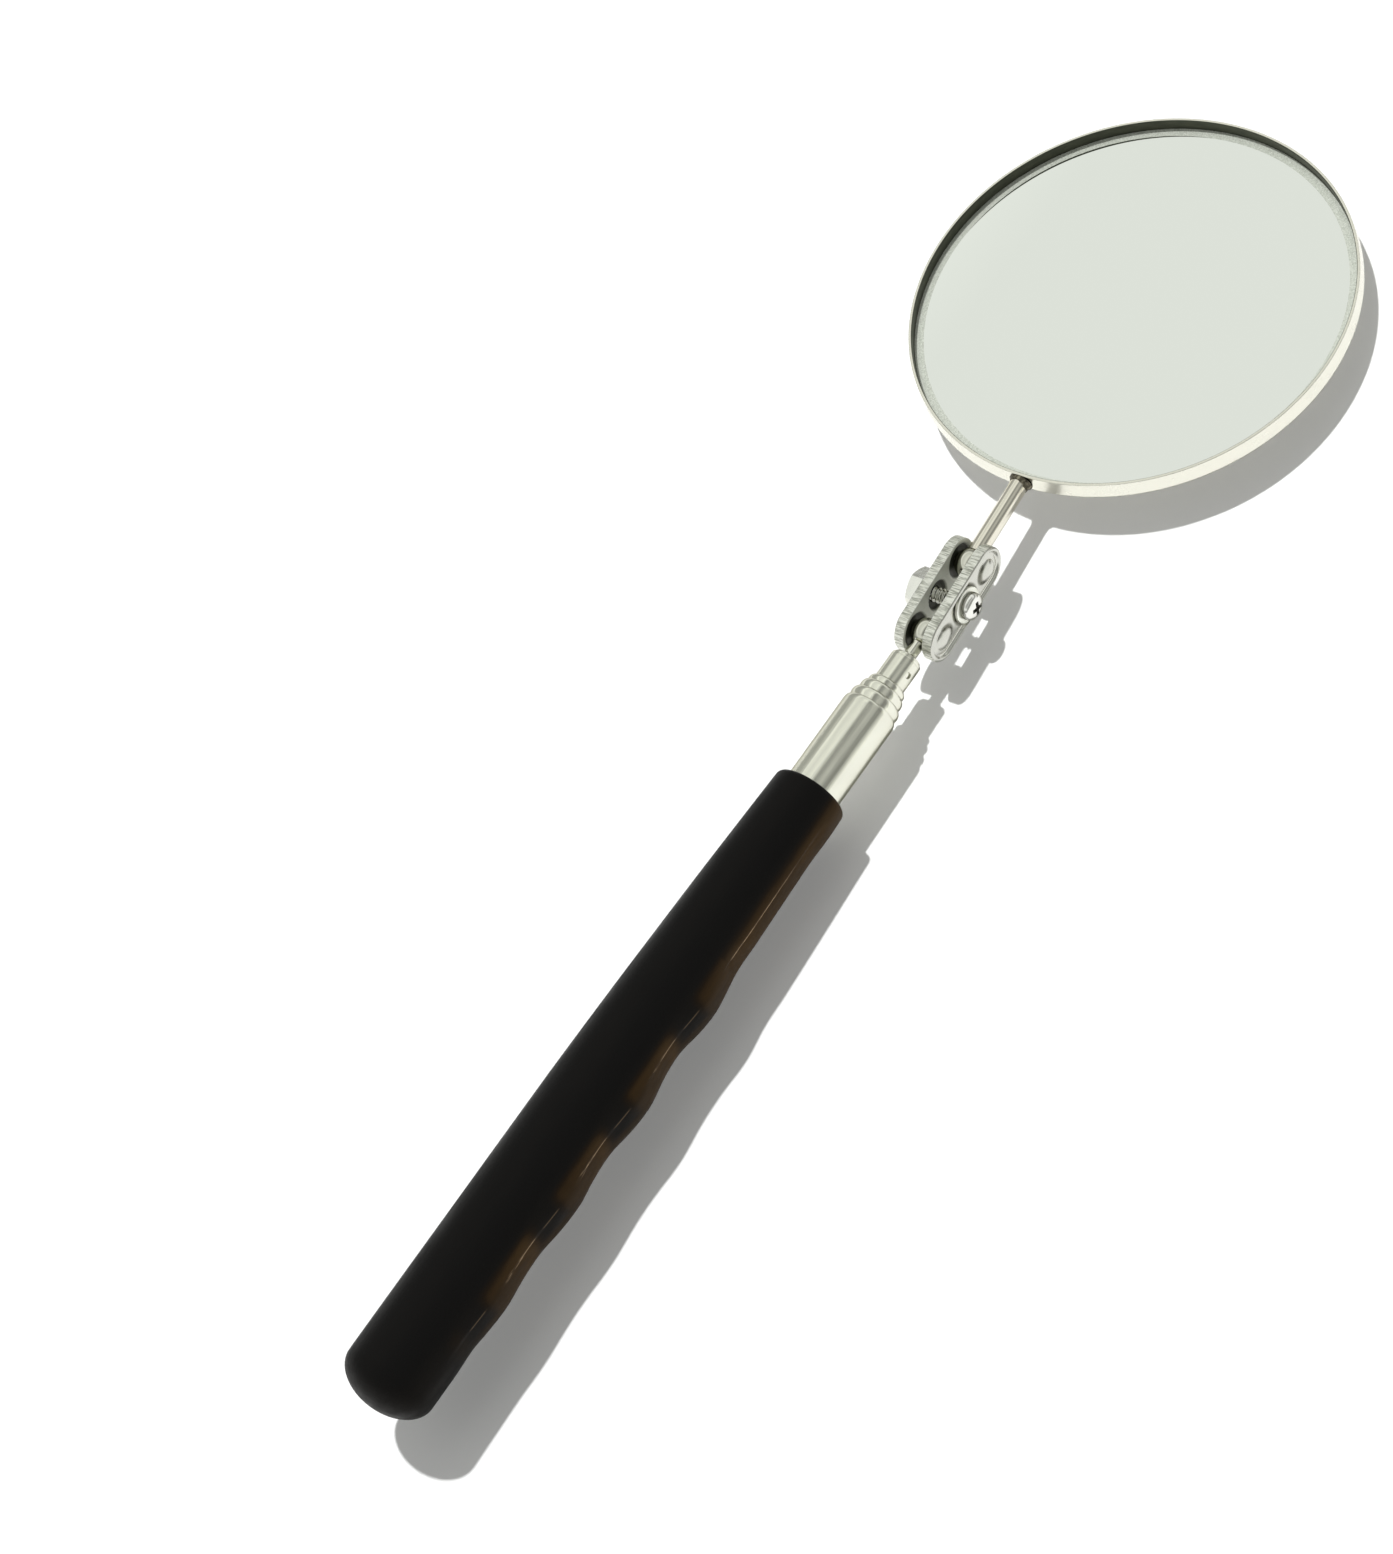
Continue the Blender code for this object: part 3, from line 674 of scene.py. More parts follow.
def grip_painted_light(x, angle):
    """How much brown painted light falls on the finger side: from each swell's crest to the hollow by it, in front
    of the swells, and along the side that faces the floor.
    """
    away = from_swell_side(angle)
    phase = swell_phase(x)
    flank = ease((phase - 0.84) / 0.16) if phase > 0.8 else ease((0.68 - phase) / 0.20)
    flank *= 0.60 + 0.65 * (min(phase, 0.5) if phase < 0.8 else 0.0)
    front = ease((x - SWELL_FIRST - 5.0) / 4.0)
    side = ease((radians(60) - away) / radians(22 if front > 0.5 else 16))
    underside = 0.50 * ease((radians(24) - away) / radians(10))
    return ease((x - 12.0) / 12.0) * max(side * max(0.85 * front, flank), underside)


def grip_angles():
    """Angles round the grip, close together at the two creases."""
    coarse = even(96)
    fine = []
    for side in (-1, 1):
        centre = SWELL_SIDE + side * CREASE_AT
        fine += [(centre + radians(0.6 * i)) % TAU for i in range(-9, 10)]
    clearance = radians(0.9)
    clear = [a for a in coarse if min(abs((a - f + pi) % TAU - pi) for f in fine) > clearance]
    return sorted(clear + fine)


def make_grip():
    """The sleeve: a domed end, the shaped outside, a rounded mouth and the start of the bore."""
    angles = grip_angles()
    dome = [GRIP_DOME * (1 - cos(radians(a))) for a in range(8, 90, 6)]
    straight = [GRIP_DOME + GRIP_STEP * i for i in range(1, int((GRIP_LENGTH - GRIP_DOME - 1.6) / GRIP_STEP))]
    mouth_start = GRIP_LENGTH - GRIP_MOUTH_ROUND
    stations = [(x, 0.0) for x in dome + straight if x < mouth_start - 0.2]
    for turn in quarter(8):
        sink = GRIP_MOUTH_ROUND * (1 - cos(turn)) * 0.85
        stations.append((mouth_start + GRIP_MOUTH_ROUND * sin(turn), sink))
    rings = []
    for x, sink in stations:
        rings.append(ring_of(x, angles, lambda angle: grip_radius(x, angle) - sink))
    bore = TUBE_R[0] + 2 * SLIDE_GAP
    for x, radius in ((GRIP_LENGTH - 0.1, bore + 0.12), (GRIP_LENGTH - 0.3, bore), (GRIP_LENGTH - 5.0, bore)):
        rings.append(ring_of(x, angles, lambda angle: radius))
    bm = lofted(rings)
    grip = make_piece("grip_sleeve", bm, TOOL, "handle", "grip", ["grip"], sharp=60)
    # Painted light: the brown lit patch on the finger side
    weigh(grip, "painted_light", lambda place: grip_painted_light(place.x, atan2(place.z, place.y)))
    # Painted highlight: the pale strokes along the parting ridge
    weigh(grip, "ridge_highlight", lambda place: grip_parting_strokes(place.x, atan2(place.z, place.y)))


# ---- tubes


def tube_outline(section):
    """The tube's wall with its mouth swaged in round the next section, measured from its foot."""
    bottom, top, outer = TUBE_BOTTOM[section], TUBE_TOP[section], TUBE_R[section]
    length = top - bottom
    bore = outer - WALL
    if section == len(TUBE_R) - 1:
        groove = [(length - 0.62, outer), (length - 0.55, outer - 0.07), (length - 0.47, outer - 0.07),
                  (length - 0.40, outer - 0.01)]
        edge = arc(length - 0.16, outer - 0.17, 0.16, 90, 0, 5)
        return [(0.0, outer)] + groove + edge + [(length, bore), (0.0, bore)]
    mouth = TUBE_R[section + 1] + SLIDE_GAP
    lip = mouth + LIP_STEP
    reach, rise = BEAD_LENGTH[section], BEAD_RISE[section]
    roll = reach * (0.5 if rise else 1.0)
    swell = []
    if rise:
        swell = [(length - reach + (reach - roll) * i / 6, outer + rise * ease(i / 6)) for i in range(6)]
    shoulder = [(length - roll * (1 - sin(a)), lip + (outer + rise - lip) * cos(a)) for a in quarter(14)]
    inside = [(length - 0.10, lip - 0.02), (length - 0.38, mouth), (length - 0.8, mouth)]
    inside.append((length - 1.5, bore))
    return [(0.0, outer)] + swell + shoulder + inside + [(0.0, bore)]


def tube_painter(section):
    """Chooses a tube's finish: drawn wall, rolled mouth, and painted shade in the seam where the next section
    comes out.
    """
    length = TUBE_TOP[section] - TUBE_BOTTOM[section]
    last = section == len(TUBE_R) - 1
    seam_r = 0.0 if last else TUBE_R[section + 1] + SLIDE_GAP + 0.11

    def choose(centre, normal):
        # Painted shade in the seam where the next section comes out
        if centre.x > length - SEAM_DEPTH and hypot(centre.y, centre.z) < seam_r:
            return 2
        return 1 if centre.x > length - MOUTH_BAND else 0

    return choose


def make_tubes():
    for section, outer in enumerate(TUBE_R):
        number = section + 1
        name = "base_tube" if section == 0 else f"tube_{number}"
        body = "handle" if section == 0 else f"section_{number}"
        at = (TUBE_BOTTOM[section], 0, 0)
        piece = make_piece(
            f"{name}_drawn", turned(tube_outline(section), 96), TOOL, body, name,
            ["tube", "mouth", "recess"], at, sharp=40,
        )
        paint(piece, tube_painter(section))
        if section == len(TUBE_R) - 1:
            drill_pin_hole(piece, outer)


def drill_pin_hole(tube, outer):
    """The cross pin's hole, countersunk a little on both sides."""
    radius = CROSS_PIN_R + SLIDE_GAP
    reach = outer + 1.0
    flare = [(-reach, 0), (-reach, radius + 1.12), (-outer + 0.10, radius), (outer - 0.10, radius),
             (reach, radius + 1.12), (reach, 0)]
    carve(tube, make_object("pin_drill", turned_pin(flare, 40), TOOL, (CROSS_PIN_X, 0, 0)))


def turned_pin(outline, sides):
    """A solid turned about the cross pin's line, which leans a little from the tool's Y axis."""
    bm = turned(outline, sides, "Y")
    rotate(bm, Matrix.Rotation(-PIN_TURN, 3, "X"))
    return bm


def make_stud():
    """The plug in the last tube, its shoulder, and the slim neck that flares into the ball."""
    body = TUBE_TOP[-1] - 0.35 - STUD_BODY_LENGTH
    radius = TUBE_R[-1] - WALL - SLIDE_GAP
    ball = LOWER_BALL_X - body
    flat = ball - sqrt(BALL_R ** 2 - STUD_NECK_R ** 2) - FACE_GAP
    mouth = TUBE_TOP[-1] - body
    full = mouth + STUD_COLLAR
    outline = [(0, 0), (0, radius), (mouth - 0.12, radius), (mouth - 0.02, radius - 0.12)]
    outline.append((mouth + 0.04, STUD_COLLAR_R))
    outline += arc(full - 0.18, STUD_COLLAR_R - 0.18, 0.18, 85, 5, 4)
    neck = ((full, 0.62), (full + 0.12, 0.28), (full + 0.4, 0.07), (full + 0.8, 0.0),
            (flat - 0.5, 0.0), (flat - 0.2, 0.05), (flat, 0.14))
    outline += [(along, STUD_NECK_R + flare) for along, flare in neck] + [(flat, 0)]
    make_piece("ball_stud_turned", turned(outline, 64), TOOL, "section_5", "ball_stud",
               ["stud"], (body, 0, 0))


def make_cross_pin():
    """The pin through the last tube and the stud, with a shallow dimple in each end."""
    half = TUBE_R[-1] - 0.4
    dimple = [(half, CROSS_PIN_R - 0.14), (half - 0.10, CROSS_PIN_R - 0.26), (half - 0.16, 0)]
    edge = [(half - 0.10, CROSS_PIN_R), (half, CROSS_PIN_R - 0.10)]
    right = edge + dimple
    left = [(-along, radius) for along, radius in reversed(right)]
    make_piece("cross_pin_end", turned_pin(left + right, 32), TOOL, "section_5", "cross_pin",
               ["pin"], (CROSS_PIN_X, 0, 0))


# ---- double ball joint


def make_ball(node, body, flat_side, flat_r, x, axes):
    """A ball with a flat of the given radius where its neck or rod joins it."""
    start = degrees(asin(flat_r / BALL_R))
    outline = [(flat_side * along, radius) for along, radius in arc(0, 0, BALL_R, start, 180, 34)]
    outline = [(outline[0][0], 0.0)] + outline[:-1] + [(-flat_side * BALL_R, 0.0)]
    make_piece(f"{node}_polished", turned(outline, 64), axes, body, node, ["ball"], (x, 0, 0))


def dome_height(x, z):
    """The pressed domes over the two balls, drawn out a little towards each other."""
    height = 0.0
    for centre, inward in ((0.0, 1), (BALL_SPACING, -1)):
        along = (x - centre) * (DOME_STRETCH if (x - centre) * inward > 0 else 1.0)
        spread = hypot(along, z)
        if spread < DOME_CURVE:
            height = max(height, sqrt(DOME_CURVE ** 2 - spread ** 2) - DOME_CURVE + DOME_RISE)
    return height


def plate_outside(x, z, inset):
    """The plate's outer face: a bright rolled shoulder, a valley inside it, a flat land and the two domes."""
    if inset < SHOULDER:
        rise = sqrt(max(0.0, 1 - (1 - inset / SHOULDER) ** 2))
        return PLATE_OUTER + SHOULDER_CREST * rise
    face = PLATE_OUTER + SHOULDER_CREST * ease((SHOULDER + 0.55 - inset) / 0.55)
    face -= 0.10 * ease((inset - SHOULDER) / 0.5) * ease((1.75 - inset) / 0.6)
    under_washer = ease((WASHER_R + 0.55 - hypot(x - SCREW_X, z)) / 0.5)
    face += (min(face, PLATE_OUTER - 0.01) - face) * under_washer
    dome = PLATE_OUTER + dome_height(x, z)
    blend = 0.5 + 0.5 * tanh((dome - PLATE_OUTER - 0.10) / 0.07)
    return face + (max(dome, face) - face) * blend


def plate_inside(x, z):
    """The plate's inner face: a socket over each ball, a hollow round the screw, and lands between them."""
    depth = PLATE_INNER
    for centre in (0.0, BALL_SPACING):
        spread = hypot(x - centre, z)
        if spread < SOCKET_R:
            depth = max(depth, sqrt(SOCKET_R ** 2 - spread ** 2))
        depth = max(depth, PLATE_INNER + BALL_HOLLOW_DEPTH * ease((BALL_HOLLOW_R - spread) / 1.1))
    around_screw = hypot(x - SCREW_X, z)
    return max(depth, PLATE_INNER + SCREW_HOLLOW_DEPTH * ease((SCREW_HOLLOW_R - around_screw) / 0.9))


def outer_painted_shade(place):
    """Painted shade on the outer face: round the washer's edge and at the inner foot of each dome."""
    from_screw = hypot(place.x - SCREW_X, place.z)
    if hypot(max(0.0, -place.x, place.x - BALL_SPACING), place.z) > PLATE_END_R - SHOULDER:
        return 0.0
    painted_dark = 0.85 * ease((WASHER_R + 0.75 - from_screw) / 0.6)
    for centre, inward in ((0.0, 1), (BALL_SPACING, -1)):
        along = (place.x - centre) * inward
        if along > 0:
            off = abs(hypot(DOME_STRETCH * along, place.z) - DOME_FOOT_R) / 0.60
            painted_dark = max(painted_dark, 0.75 * ease(1 - off) * ease(along / 1.2))
    return painted_dark


def plate_painted_shade(place):
    """How much painted shade a point of the plate gets, from 0 to 1: in a hollow of the inner face, or in a
    crevice of the outer face.
    """
    if abs(place.y) > PLATE_INNER + 1.25:
        return outer_painted_shade(place)
    near_ball = min(hypot(place.x - centre, place.z) for centre in (0.0, BALL_SPACING))
    near_screw = hypot(place.x - SCREW_X, place.z)
    return max(ease((BALL_HOLLOW_R - near_ball) / 0.9), ease((SCREW_HOLLOW_R - near_screw) / 0.8))


def stadium(inset, steps=32, runs=56):
    """Points round the plate's outline, drawn in towards the line between the balls."""
    radius = PLATE_END_R - inset
    near = [(-radius * sin(pi * i / steps), radius * cos(pi * i / steps)) for i in range(steps + 1)]
    far = [(BALL_SPACING - x, -z) for x, z in near]
    low = [(BALL_SPACING * i / runs, -radius) for i in range(1, runs)]
    high = [(BALL_SPACING * (1 - i / runs), radius) for i in range(1, runs)]
    return near + low + far + high


def make_plate(node, side):
    """A clamp plate on the -Y side (-1) or the +Y side (1): inner face, sheared edge and outer face."""
    insets = [SHOULDER * (1 - cos(radians(10 * i))) for i in range(10)]
    insets += [SHOULDER + (PLATE_END_R - SHOULDER) * i / 32 for i in range(1, 33)]
    rings = []
    chamfer = 0.06
    for inset in [i for i in reversed(insets) if i >= chamfer]:
        rings.append([(x, side * plate_inside(x, z), z) for x, z in stadium(inset)])
    rings.append([(x, side * (PLATE_INNER + chamfer), z) for x, z in stadium(0.0)])
    for inset in insets:
        rings.append([(x, side * plate_outside(x, z, inset), z) for x, z in stadium(inset)])
    bm = lofted(rings, capped=False)
    plate = make_piece(f"{node}_pressed", bm, SWIVEL, "joint_plates", node,
                       ["plate", "sheared", "socket"], sharp=38)
    hole = [(PLATE_INNER - 1, 0), (PLATE_INNER - 1, SCREW_R + 0.1), (PLATE_OUTER + 1, SCREW_R + 0.1),
            (PLATE_OUTER + 1, 0)]
    drill = turned(hole, 40, "Y" if side > 0 else "-Y")
    carve(plate, make_object("plate_drill", drill, SWIVEL, (SCREW_X, 0, 0)))

    def choose(centre, normal):
        beyond = max(0.0, -centre.x, centre.x - BALL_SPACING)
        inset = PLATE_END_R - hypot(beyond, centre.z)
        if inset < 0.05 and abs(normal.y) < 0.5:
            return 1
        return 2 if normal.y * side < -0.3 else 0

    paint(plate, choose)
    # Painted shade in the plate's hollows and crevices
    weigh(plate, "hollow", plate_painted_shade)


def thread_radius(along, turn, major):
    """The radius of a single-start thread, with its crest and root slightly flat."""
    phase = (along / THREAD_PITCH - turn / TAU) % 1.0
    tooth = min(1.0, max(0.0, 1.25 * (1 - abs(2 * phase - 1)) - 0.12))
    return major - THREAD_DEPTH * (1 - tooth)


def threaded_shank(low, high, major):
    """Rings of a threaded rod along its axis, narrowed at its far end."""
    turns = even(48)
    count = int((high - low) / THREAD_PITCH * 14)
    rings = []
    for i in range(count + 1):
        along = low + (high - low) * i / count
        limit = major - max(0.0, 0.35 - (along - low))
        rings.append(ring_of(along, turns, lambda turn: min(thread_radius(along, turn, major), limit)))
    return rings


def make_clamp_screw():
    """A cross-recess pan head screw; distances run along its axis, out of its head."""
    seat = PLATE_OUTER + 2 * FACE_GAP + WASHER_THICKNESS
    end = -(PLATE_OUTER + FACE_GAP + NUT_THICKNESS + SCREW_PAST_NUT)
    rings = threaded_shank(end, seat - 0.5, SCREW_R)
    sides = len(rings[0])
    top = seat + HEAD_HEIGHT
    profile = [(seat, SCREW_R - 0.02), (seat, HEAD_R - 0.10), (seat + 0.06, HEAD_R - 0.02)]
    profile += [(seat + HEAD_EDGE - 0.06, HEAD_R), (seat + HEAD_EDGE, HEAD_R - 0.02)]
    crown = [radians(a) for a in (12, 24, 36, 48, 60, 72, 80)]
    for a in crown:
        height = (HEAD_HEIGHT - HEAD_EDGE) * sin(a) ** 0.9
        profile.append((seat + HEAD_EDGE + height, HEAD_R * (0.28 + 0.71 * cos(a))))
    profile.append((top, 0.45))
    rings += [circle(along, radius, sides) for along, radius in profile]
    bm = lofted(rings)
    rotate(bm, TURN_TO["-Y"])
    screw = make_piece("clamp_screw_cross_head", bm, SWIVEL, "clamp_screw", "clamp_screw",
                       ["screw", "thread", "recess", "head_side_shade"], (SCREW_X, 0, 0))
    for turn in (20, 110):
        wing = recess_wing(top)
        rotate(wing, TURN_TO["-Y"])
        rotate(wing, Matrix.Rotation(radians(turn), 3, "Y"))
        carve(screw, make_object("recess", wing, SWIVEL, (SCREW_X, 0, 0)))

    def choose(centre, normal):
        if centre.y > -seat + 0.2:
            return 1
        # The head's side band gets a darker copy of the nickel, as painted shade
        if -centre.y < seat + HEAD_EDGE - 0.1:
            return 3
        outwards = normal.x * centre.x + normal.z * centre.z + 0.6 * -normal.y
        # The recess's inner faces get painted shade
        return 2 if hypot(centre.x, centre.z) < 1.6 and outwards < 0.35 else 0

    paint(screw, choose)


def recess_wing(top):
    """One arm of the cross recess, tapered in depth, along the screw's axis."""
    deep = top - 1.25
    layers = [(deep, 0.42, 0.22), (top - 0.35, 1.15, 0.36), (top + 0.6, 1.70, 0.50)]
    return lofted([[(x, -w, -t), (x, w, -t), (x, w, t), (x, -w, t)] for x, w, t in layers])


def make_washer():
    """The flat washer under the screw's head, with a rounded upper edge."""
    low = PLATE_OUTER + FACE_GAP
    high = low + WASHER_THICKNESS
    outer = WASHER_R
    ring = [(low, SCREW_R + 0.1), (low, outer - 0.08), (low + 0.08, outer)]
    ring += arc(high - 0.22, outer - 0.22, 0.22, 90, 0, 5)
    ring.append((high, SCREW_R + 0.1))
    make_piece("clamp_washer_flat", turned(ring, 72, "-Y"), SWIVEL, "joint_plates", "clamp_washer",
               ["washer"], (SCREW_X, 0, 0))


def make_nut():
    """A hex nut with its corners turned off in a cone on both faces."""
    low = PLATE_OUTER + FACE_GAP
    high = low + NUT_THICKNESS
    flat = NUT_ACROSS_FLATS / 2
    sides = 96
    bore = SCREW_R + 0.06

    def hexagon(along, limit):
        def radius_at(turn):
            corner = (turn + pi / 6) % (pi / 3) - pi / 6
            return min(flat / cos(corner), limit)

        return ring_of(along, even(sides), radius_at)

    corner_r = flat / cos(pi / 6)
    rings = [hexagon(low, flat - 0.05), hexagon(low + 0.04, flat + 0.02)]
    for i in range(1, 5):
        rings.append(hexagon(low + 0.04 + 0.30 * i / 4, flat + 0.02 + (corner_r - flat) * i / 4))
    for i in range(7):
        limit = corner_r - (corner_r - flat + 0.05) * (i / 6) ** 1.3
        rings.append(hexagon(high - 0.32 * (1 - i / 6) - 0.03, limit))
    rings.append(hexagon(high, flat - 0.10))
    sink = 0.28
    for along, radius in ((high, bore + sink), (high - sink, bore), (low + sink, bore), (low, bore + sink)):
        rings.append(circle(along, radius, sides))
    rings.append(rings[0])
    bm = lofted(rings, capped=False)
    rotate(bm, TURN_TO["Y"])
    make_piece("clamp_nut_hex", bm, SWIVEL, "joint_plates", "clamp_nut", ["nut"],
               (SCREW_X, 0, 0), sharp=24)


# ---- mirror head


def make_rod():
    """The plated rod from the upper ball to the case's wall, with a small fillet at the ball."""
    start = sqrt(BALL_R ** 2 - ROD_R ** 2) + FACE_GAP
    wall = MIRROR_FROM_BALL - CASE_R
    outline = [(start, 0), (start, ROD_R + 0.10), (start + 0.25, ROD_R + 0.02), (start + 0.5, ROD_R)]
    outline += [(start + (wall - 0.4 - start) * i / 12, ROD_R) for i in range(1, 12)]
    outline += [(wall - 0.05, ROD_R), (wall - 0.05, 0)]
    make_piece("mirror_rod_plated", turned(outline, 64), SWIVEL, "mirror_head", "mirror_rod",
               ["rod"], (BALL_SPACING, 0, 0))


def make_braze():
    """A lumpy collar of burnt braze that creeps up the rod and spreads on the case's wall."""
    wall = MIRROR_FROM_BALL - CASE_R
    sides, steps = 72, 18
    rings = []
    for i in range(steps + 1):
        share = i / steps
        ring = []
        for k in range(sides):
            turn = TAU * k / sides
            lump = noise.noise(Vector((share * 2.2, 1.6 * cos(turn), 1.6 * sin(turn) + 7.0)))
            reach = 1.25 + 0.45 * noise.noise(Vector((5.0, 1.3 * cos(turn), 1.3 * sin(turn))))
            along = wall - 0.02 - reach * (1 - share)
            spread = 0.05 + 0.52 * share ** 2.1
            radius = ROD_R + spread + 0.12 * lump * sin(pi * share)
            ring.append((along, radius * cos(turn), radius * sin(turn) * 0.93))
        rings.append(ring)
    inner = ROD_R - 0.02
    rings.append(circle(wall - 0.02, inner, sides))
    first = rings[0]
    rings.insert(0, [(x, y * inner / hypot(y, z), z * inner / hypot(y, z)) for x, y, z in first])
    rings.append(rings[0])
    bm = lofted(rings, capped=False)
    make_piece("rod_braze_collar", bm, SWIVEL, "mirror_head", "rod_braze", ["braze"],
               (BALL_SPACING, 0, 0), sharp=60)


def make_case():
    """The drawn dish: a flat back, a round corner, and a wall that leans in a little to hold the glass."""
    floor = CASE_HEIGHT - GLASS_DEPTH - 0.25
    corner = 0.80
    lip = 0.17
    top_r = CASE_R - WALL_LEAN
    inner = top_r - CASE_SHEET
    outline = [(0.0, 0.0), (0.0, 12.0), (0.0, 24.0), (0.0, 36.0)]
    outline += [(corner * (1 - cos(a)), CASE_R - corner * (1 - sin(a))) for a in quarter(10)]
    rise = CASE_HEIGHT - 0.3 - corner
    outline += [(corner + rise * i / 4, CASE_R - WALL_LEAN * i / 4) for i in range(1, 5)]
    outline += arc(CASE_HEIGHT - lip, top_r - lip, lip, 80, 0, 5)[:-1]
    outline += [(CASE_HEIGHT, top_r - lip - 0.02), (CASE_HEIGHT, inner + lip)]
    outline += [(CASE_HEIGHT - lip * (1 - cos(a)), inner + lip * (1 - sin(a))) for a in quarter(5)[1:]]
    outline += [(floor, CASE_R - CASE_SHEET), (floor, 0.0)]
    bm = turned(outline, 256, "Z")
    case = make_piece("mirror_case_drawn", bm, SWIVEL, "mirror_head", "mirror_case",
                      ["case", "case_back", "inner_wall"], MIRROR_AT, sharp=40)

    def choose(centre, normal):
        spread = hypot(centre.x, centre.y)
        if normal.z < -0.9:
            return 1
        inwards = normal.x * centre.x + normal.y * centre.y < -0.3 * spread
        return 2 if inwards or centre.z < floor + 0.1 and normal.z > 0.9 else 0

    paint(case, choose)


def make_glass():
    """The silvered disc, with a ground seam round its edge."""
    surface = CASE_HEIGHT - GLASS_DEPTH
    outer = CASE_R - CASE_SHEET - 0.08
    seam = outer - GLASS_EDGE_BAND
    outline = [(surface - 0.2, 0), (surface - 0.2, outer - 0.01), (surface - 0.06, outer)]
    outline += [(surface - 0.05 + 0.05 * i / 5, outer - GLASS_EDGE_BAND * i / 5) for i in range(1, 5)]
    outline += [(surface - 0.012, seam + 0.10), (surface, seam + 0.05)]
    outline += [(surface, seam), (surface, seam * 0.66), (surface, seam * 0.33), (surface, 0)]
    bm = turned(outline, 256, "Z")
    glass = make_piece("mirror_glass_silvered", bm, SWIVEL, "mirror_head", "mirror_glass",
                       ["silver", "glass_edge"], MIRROR_AT, sharp=20)
    paint(glass, lambda centre, normal: 1 if hypot(centre.x, centre.y) > seam - 0.001 else 0)


# ---- hidden CAD nodes


def finish_hidden_nodes():
    """The inner pieces keep their CAD shapes and get their own finishes."""
    inner = {"end_plug": "nylon", "backing_pad": "pad"}
    for number in (2, 3, 4, 5):
        inner[f"slide_bush_{number}"] = "brass"
        inner[f"friction_spring_{number}"] = "bronze"
    for node, finish in inner.items():
        mesh = frame["nodes"][node].data
        mesh.materials.clear()
        mesh.materials.append(FINISH[finish])


# ---- stage

CAMERA_FROM_BALL = Vector((-261.6, -375.7, 589.6)) * MM
CAMERA_BACK = (-0.29546, -0.53326, 0.79267)
CAMERA_UP = (0.77210, 0.35536, 0.52686)
CAMERA_LENS = 99.9
SENSOR = 36.0
# The floor lies a little below the tool, so that the mirror stays above it when a section slides out
FLOOR_DROP = 4.5 * MM
FLOOR_HALF = 12.0
KEY_DIRECTION = (0.18, 0.29, 0.94)
KEY_STRENGTH = 3.0
FILL_DIRECTION = (-0.20, -0.50, 0.84)
FILL_STRENGTH = 0.62


def make_camera():
    """The camera, placed from the lower ball in the tool's own frame."""
    data = bpy.data.cameras.new("camera")
    data.sensor_fit = "AUTO"
    data.sensor_width = SENSOR
    data.lens = CAMERA_LENS
    data.clip_start = 0.01
    data.clip_end = 50.0
    camera = add_object("camera", data)
    turn = TOOL.to_3x3()
    back = turn @ Vector(CAMERA_BACK)
    right = (turn @ Vector(CAMERA_UP)).cross(back).normalized()
    up = back.cross(right).normalized()
    matrix = Matrix((right, up, back.normalized())).transposed().to_4x4()
    matrix.translation = LOWER_BALL + turn @ CAMERA_FROM_BALL
    camera.matrix_world = matrix
    bpy.context.scene.camera = camera


def make_floor():
    bm = bmesh.new()
    bmesh.ops.create_grid(bm, x_segments=1, y_segments=1, size=FLOOR_HALF)
    mesh = bpy.data.meshes.new("floor")
    bm.to_mesh(mesh)
    bm.free()
    floor = add_object("floor", mesh)
    floor.location.z = -FLOOR_DROP
    paper = Finish("floor_paper", (0.86, 0.86, 0.86), 0.0, 0.75)
    paper.set("Specular IOR Level", 0.1)
    mesh.materials.append(paper.material)


def make_sun(name, direction, strength, spread, shadow=True):
    """A sun that shines from the given direction and shows in no reflection."""
    data = bpy.data.lights.new(name, "SUN")
    data.energy = strength
    data.angle = radians(spread)
    data.use_shadow = shadow
    sun = add_object(name, data)
    sun.rotation_mode = "QUATERNION"
    sun.rotation_quaternion = Vector(direction).to_track_quat("Z", "Y")
    sun.visible_glossy = False


# How bright the studio looks from floor level at +Y (0 degrees) over the top to floor level at -Y (180)
STUDIO_BANDS = (
    (0, 0.50), (26, 0.42), (38, 0.55), (45, 1.05), (52, 1.05), (54.5, 0.825), (62, 0.825), (76, 0.92),
    (88, 1.05), (96, 0.62), (102, 0.30), (110, 0.36), (124, 0.58), (136, 0.52), (149, 0.26), (158, 0.30),
    (167, 0.55), (176, 1.15), (180, 1.25),
)
# The same past the tool's two ends, by height
STUDIO_ENDS = ((0.0, 0.30), (0.22, 0.34), (0.42, 0.98), (0.60, 0.85), (0.74, 0.45), (1.0, 0.55))
STUDIO_TINT = (0.985, 1.0, 0.955)
STUDIO_FADE = (0.55, 0.95)
STUDIO_ON_MATT = 0.42
BACKDROP_LEVEL = 1.05


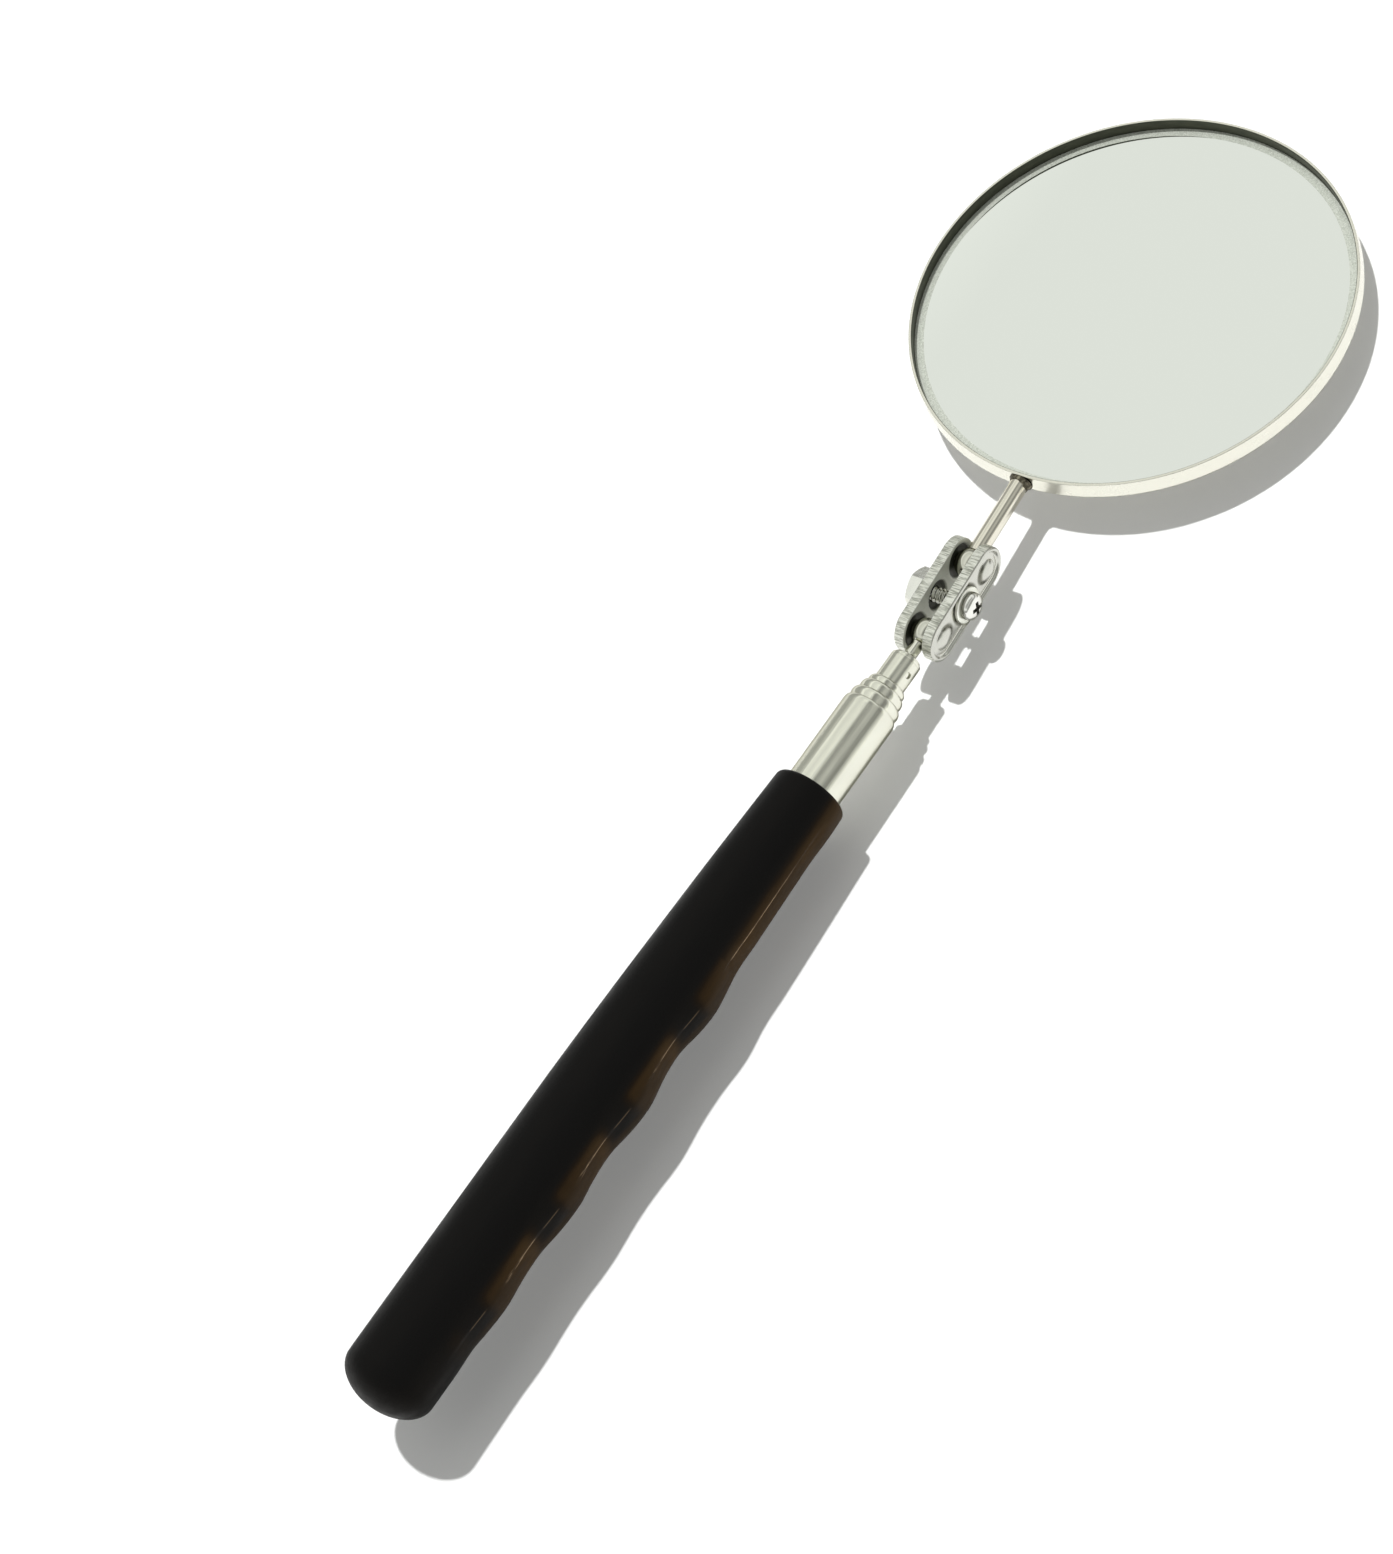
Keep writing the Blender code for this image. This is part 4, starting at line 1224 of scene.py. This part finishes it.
def make_world():
    """A studio of long strip lights and dark gaps that run along the tool, with its own look past the ends.

    Matt surfaces get a share of it, and the background behind the floor's far edge is plain white.
    """
    world = bpy.data.worlds.new("studio")
    bpy.context.scene.world = world
    world.use_nodes = True
    tree = Nodes(world.node_tree)
    lamp = tree.nodes["Background"]
    split = tree.split("Generated")

    def bands(value, levels, full):
        stops = [(place / full, [level * share for share in STUDIO_TINT]) for place, level in levels]
        return tree.ramp(value, stops)

    turn = tree.maths("MULTIPLY", tree.maths("ARCTAN2", split["Z"], split["Y"]), 1 / pi)
    past_end = tree.span(tree.maths("ABSOLUTE", split["X"]), *STUDIO_FADE, shape="SMOOTHSTEP")
    sky = tree.mix(past_end, bands(turn, STUDIO_BANDS, 180), bands(split["Z"], STUDIO_ENDS, 1))
    tree.feed(lamp.inputs["Color"], sky)
    path = tree.add("ShaderNodeLightPath").outputs
    tree.feed(lamp.inputs["Strength"], tree.span(path["Is Diffuse Ray"], 0.0, 1.0, 1.0, STUDIO_ON_MATT))
    backdrop = tree.add("ShaderNodeBackground")
    tree.feed(backdrop.inputs["Strength"], BACKDROP_LEVEL)
    tree.feed(backdrop.inputs["Color"], (1.0, 1.0, 1.0, 1.0))
    blend = tree.add("ShaderNodeMixShader")
    tree.feed(blend.inputs["Fac"], path["Is Camera Ray"])
    tree.feed(blend.inputs[1], lamp.outputs["Background"])
    tree.feed(blend.inputs[2], backdrop.outputs["Background"])
    tree.feed(tree.nodes["World Output"].inputs["Surface"], blend.outputs["Shader"])


def make_stage():
    make_camera()
    make_floor()
    make_sun("key", KEY_DIRECTION, KEY_STRENGTH, 2.0)
    make_sun("fill", FILL_DIRECTION, FILL_STRENGTH, 10.0, shadow=False)
    make_world()
    bpy.context.scene.view_settings.view_transform = "Standard"


make_stage()
make_grip()
make_tubes()
make_stud()
make_cross_pin()
make_ball("lower_ball", "lower_ball", -1, STUD_NECK_R, 0.0, SWIVEL)
make_ball("upper_ball", "upper_ball", 1, ROD_R, BALL_SPACING, SWIVEL)
make_plate("joint_plate_right", -1)
make_plate("joint_plate_left", 1)
make_washer()
make_clamp_screw()
make_nut()
make_rod()
make_braze()
make_case()
make_glass()
finish_hidden_nodes()
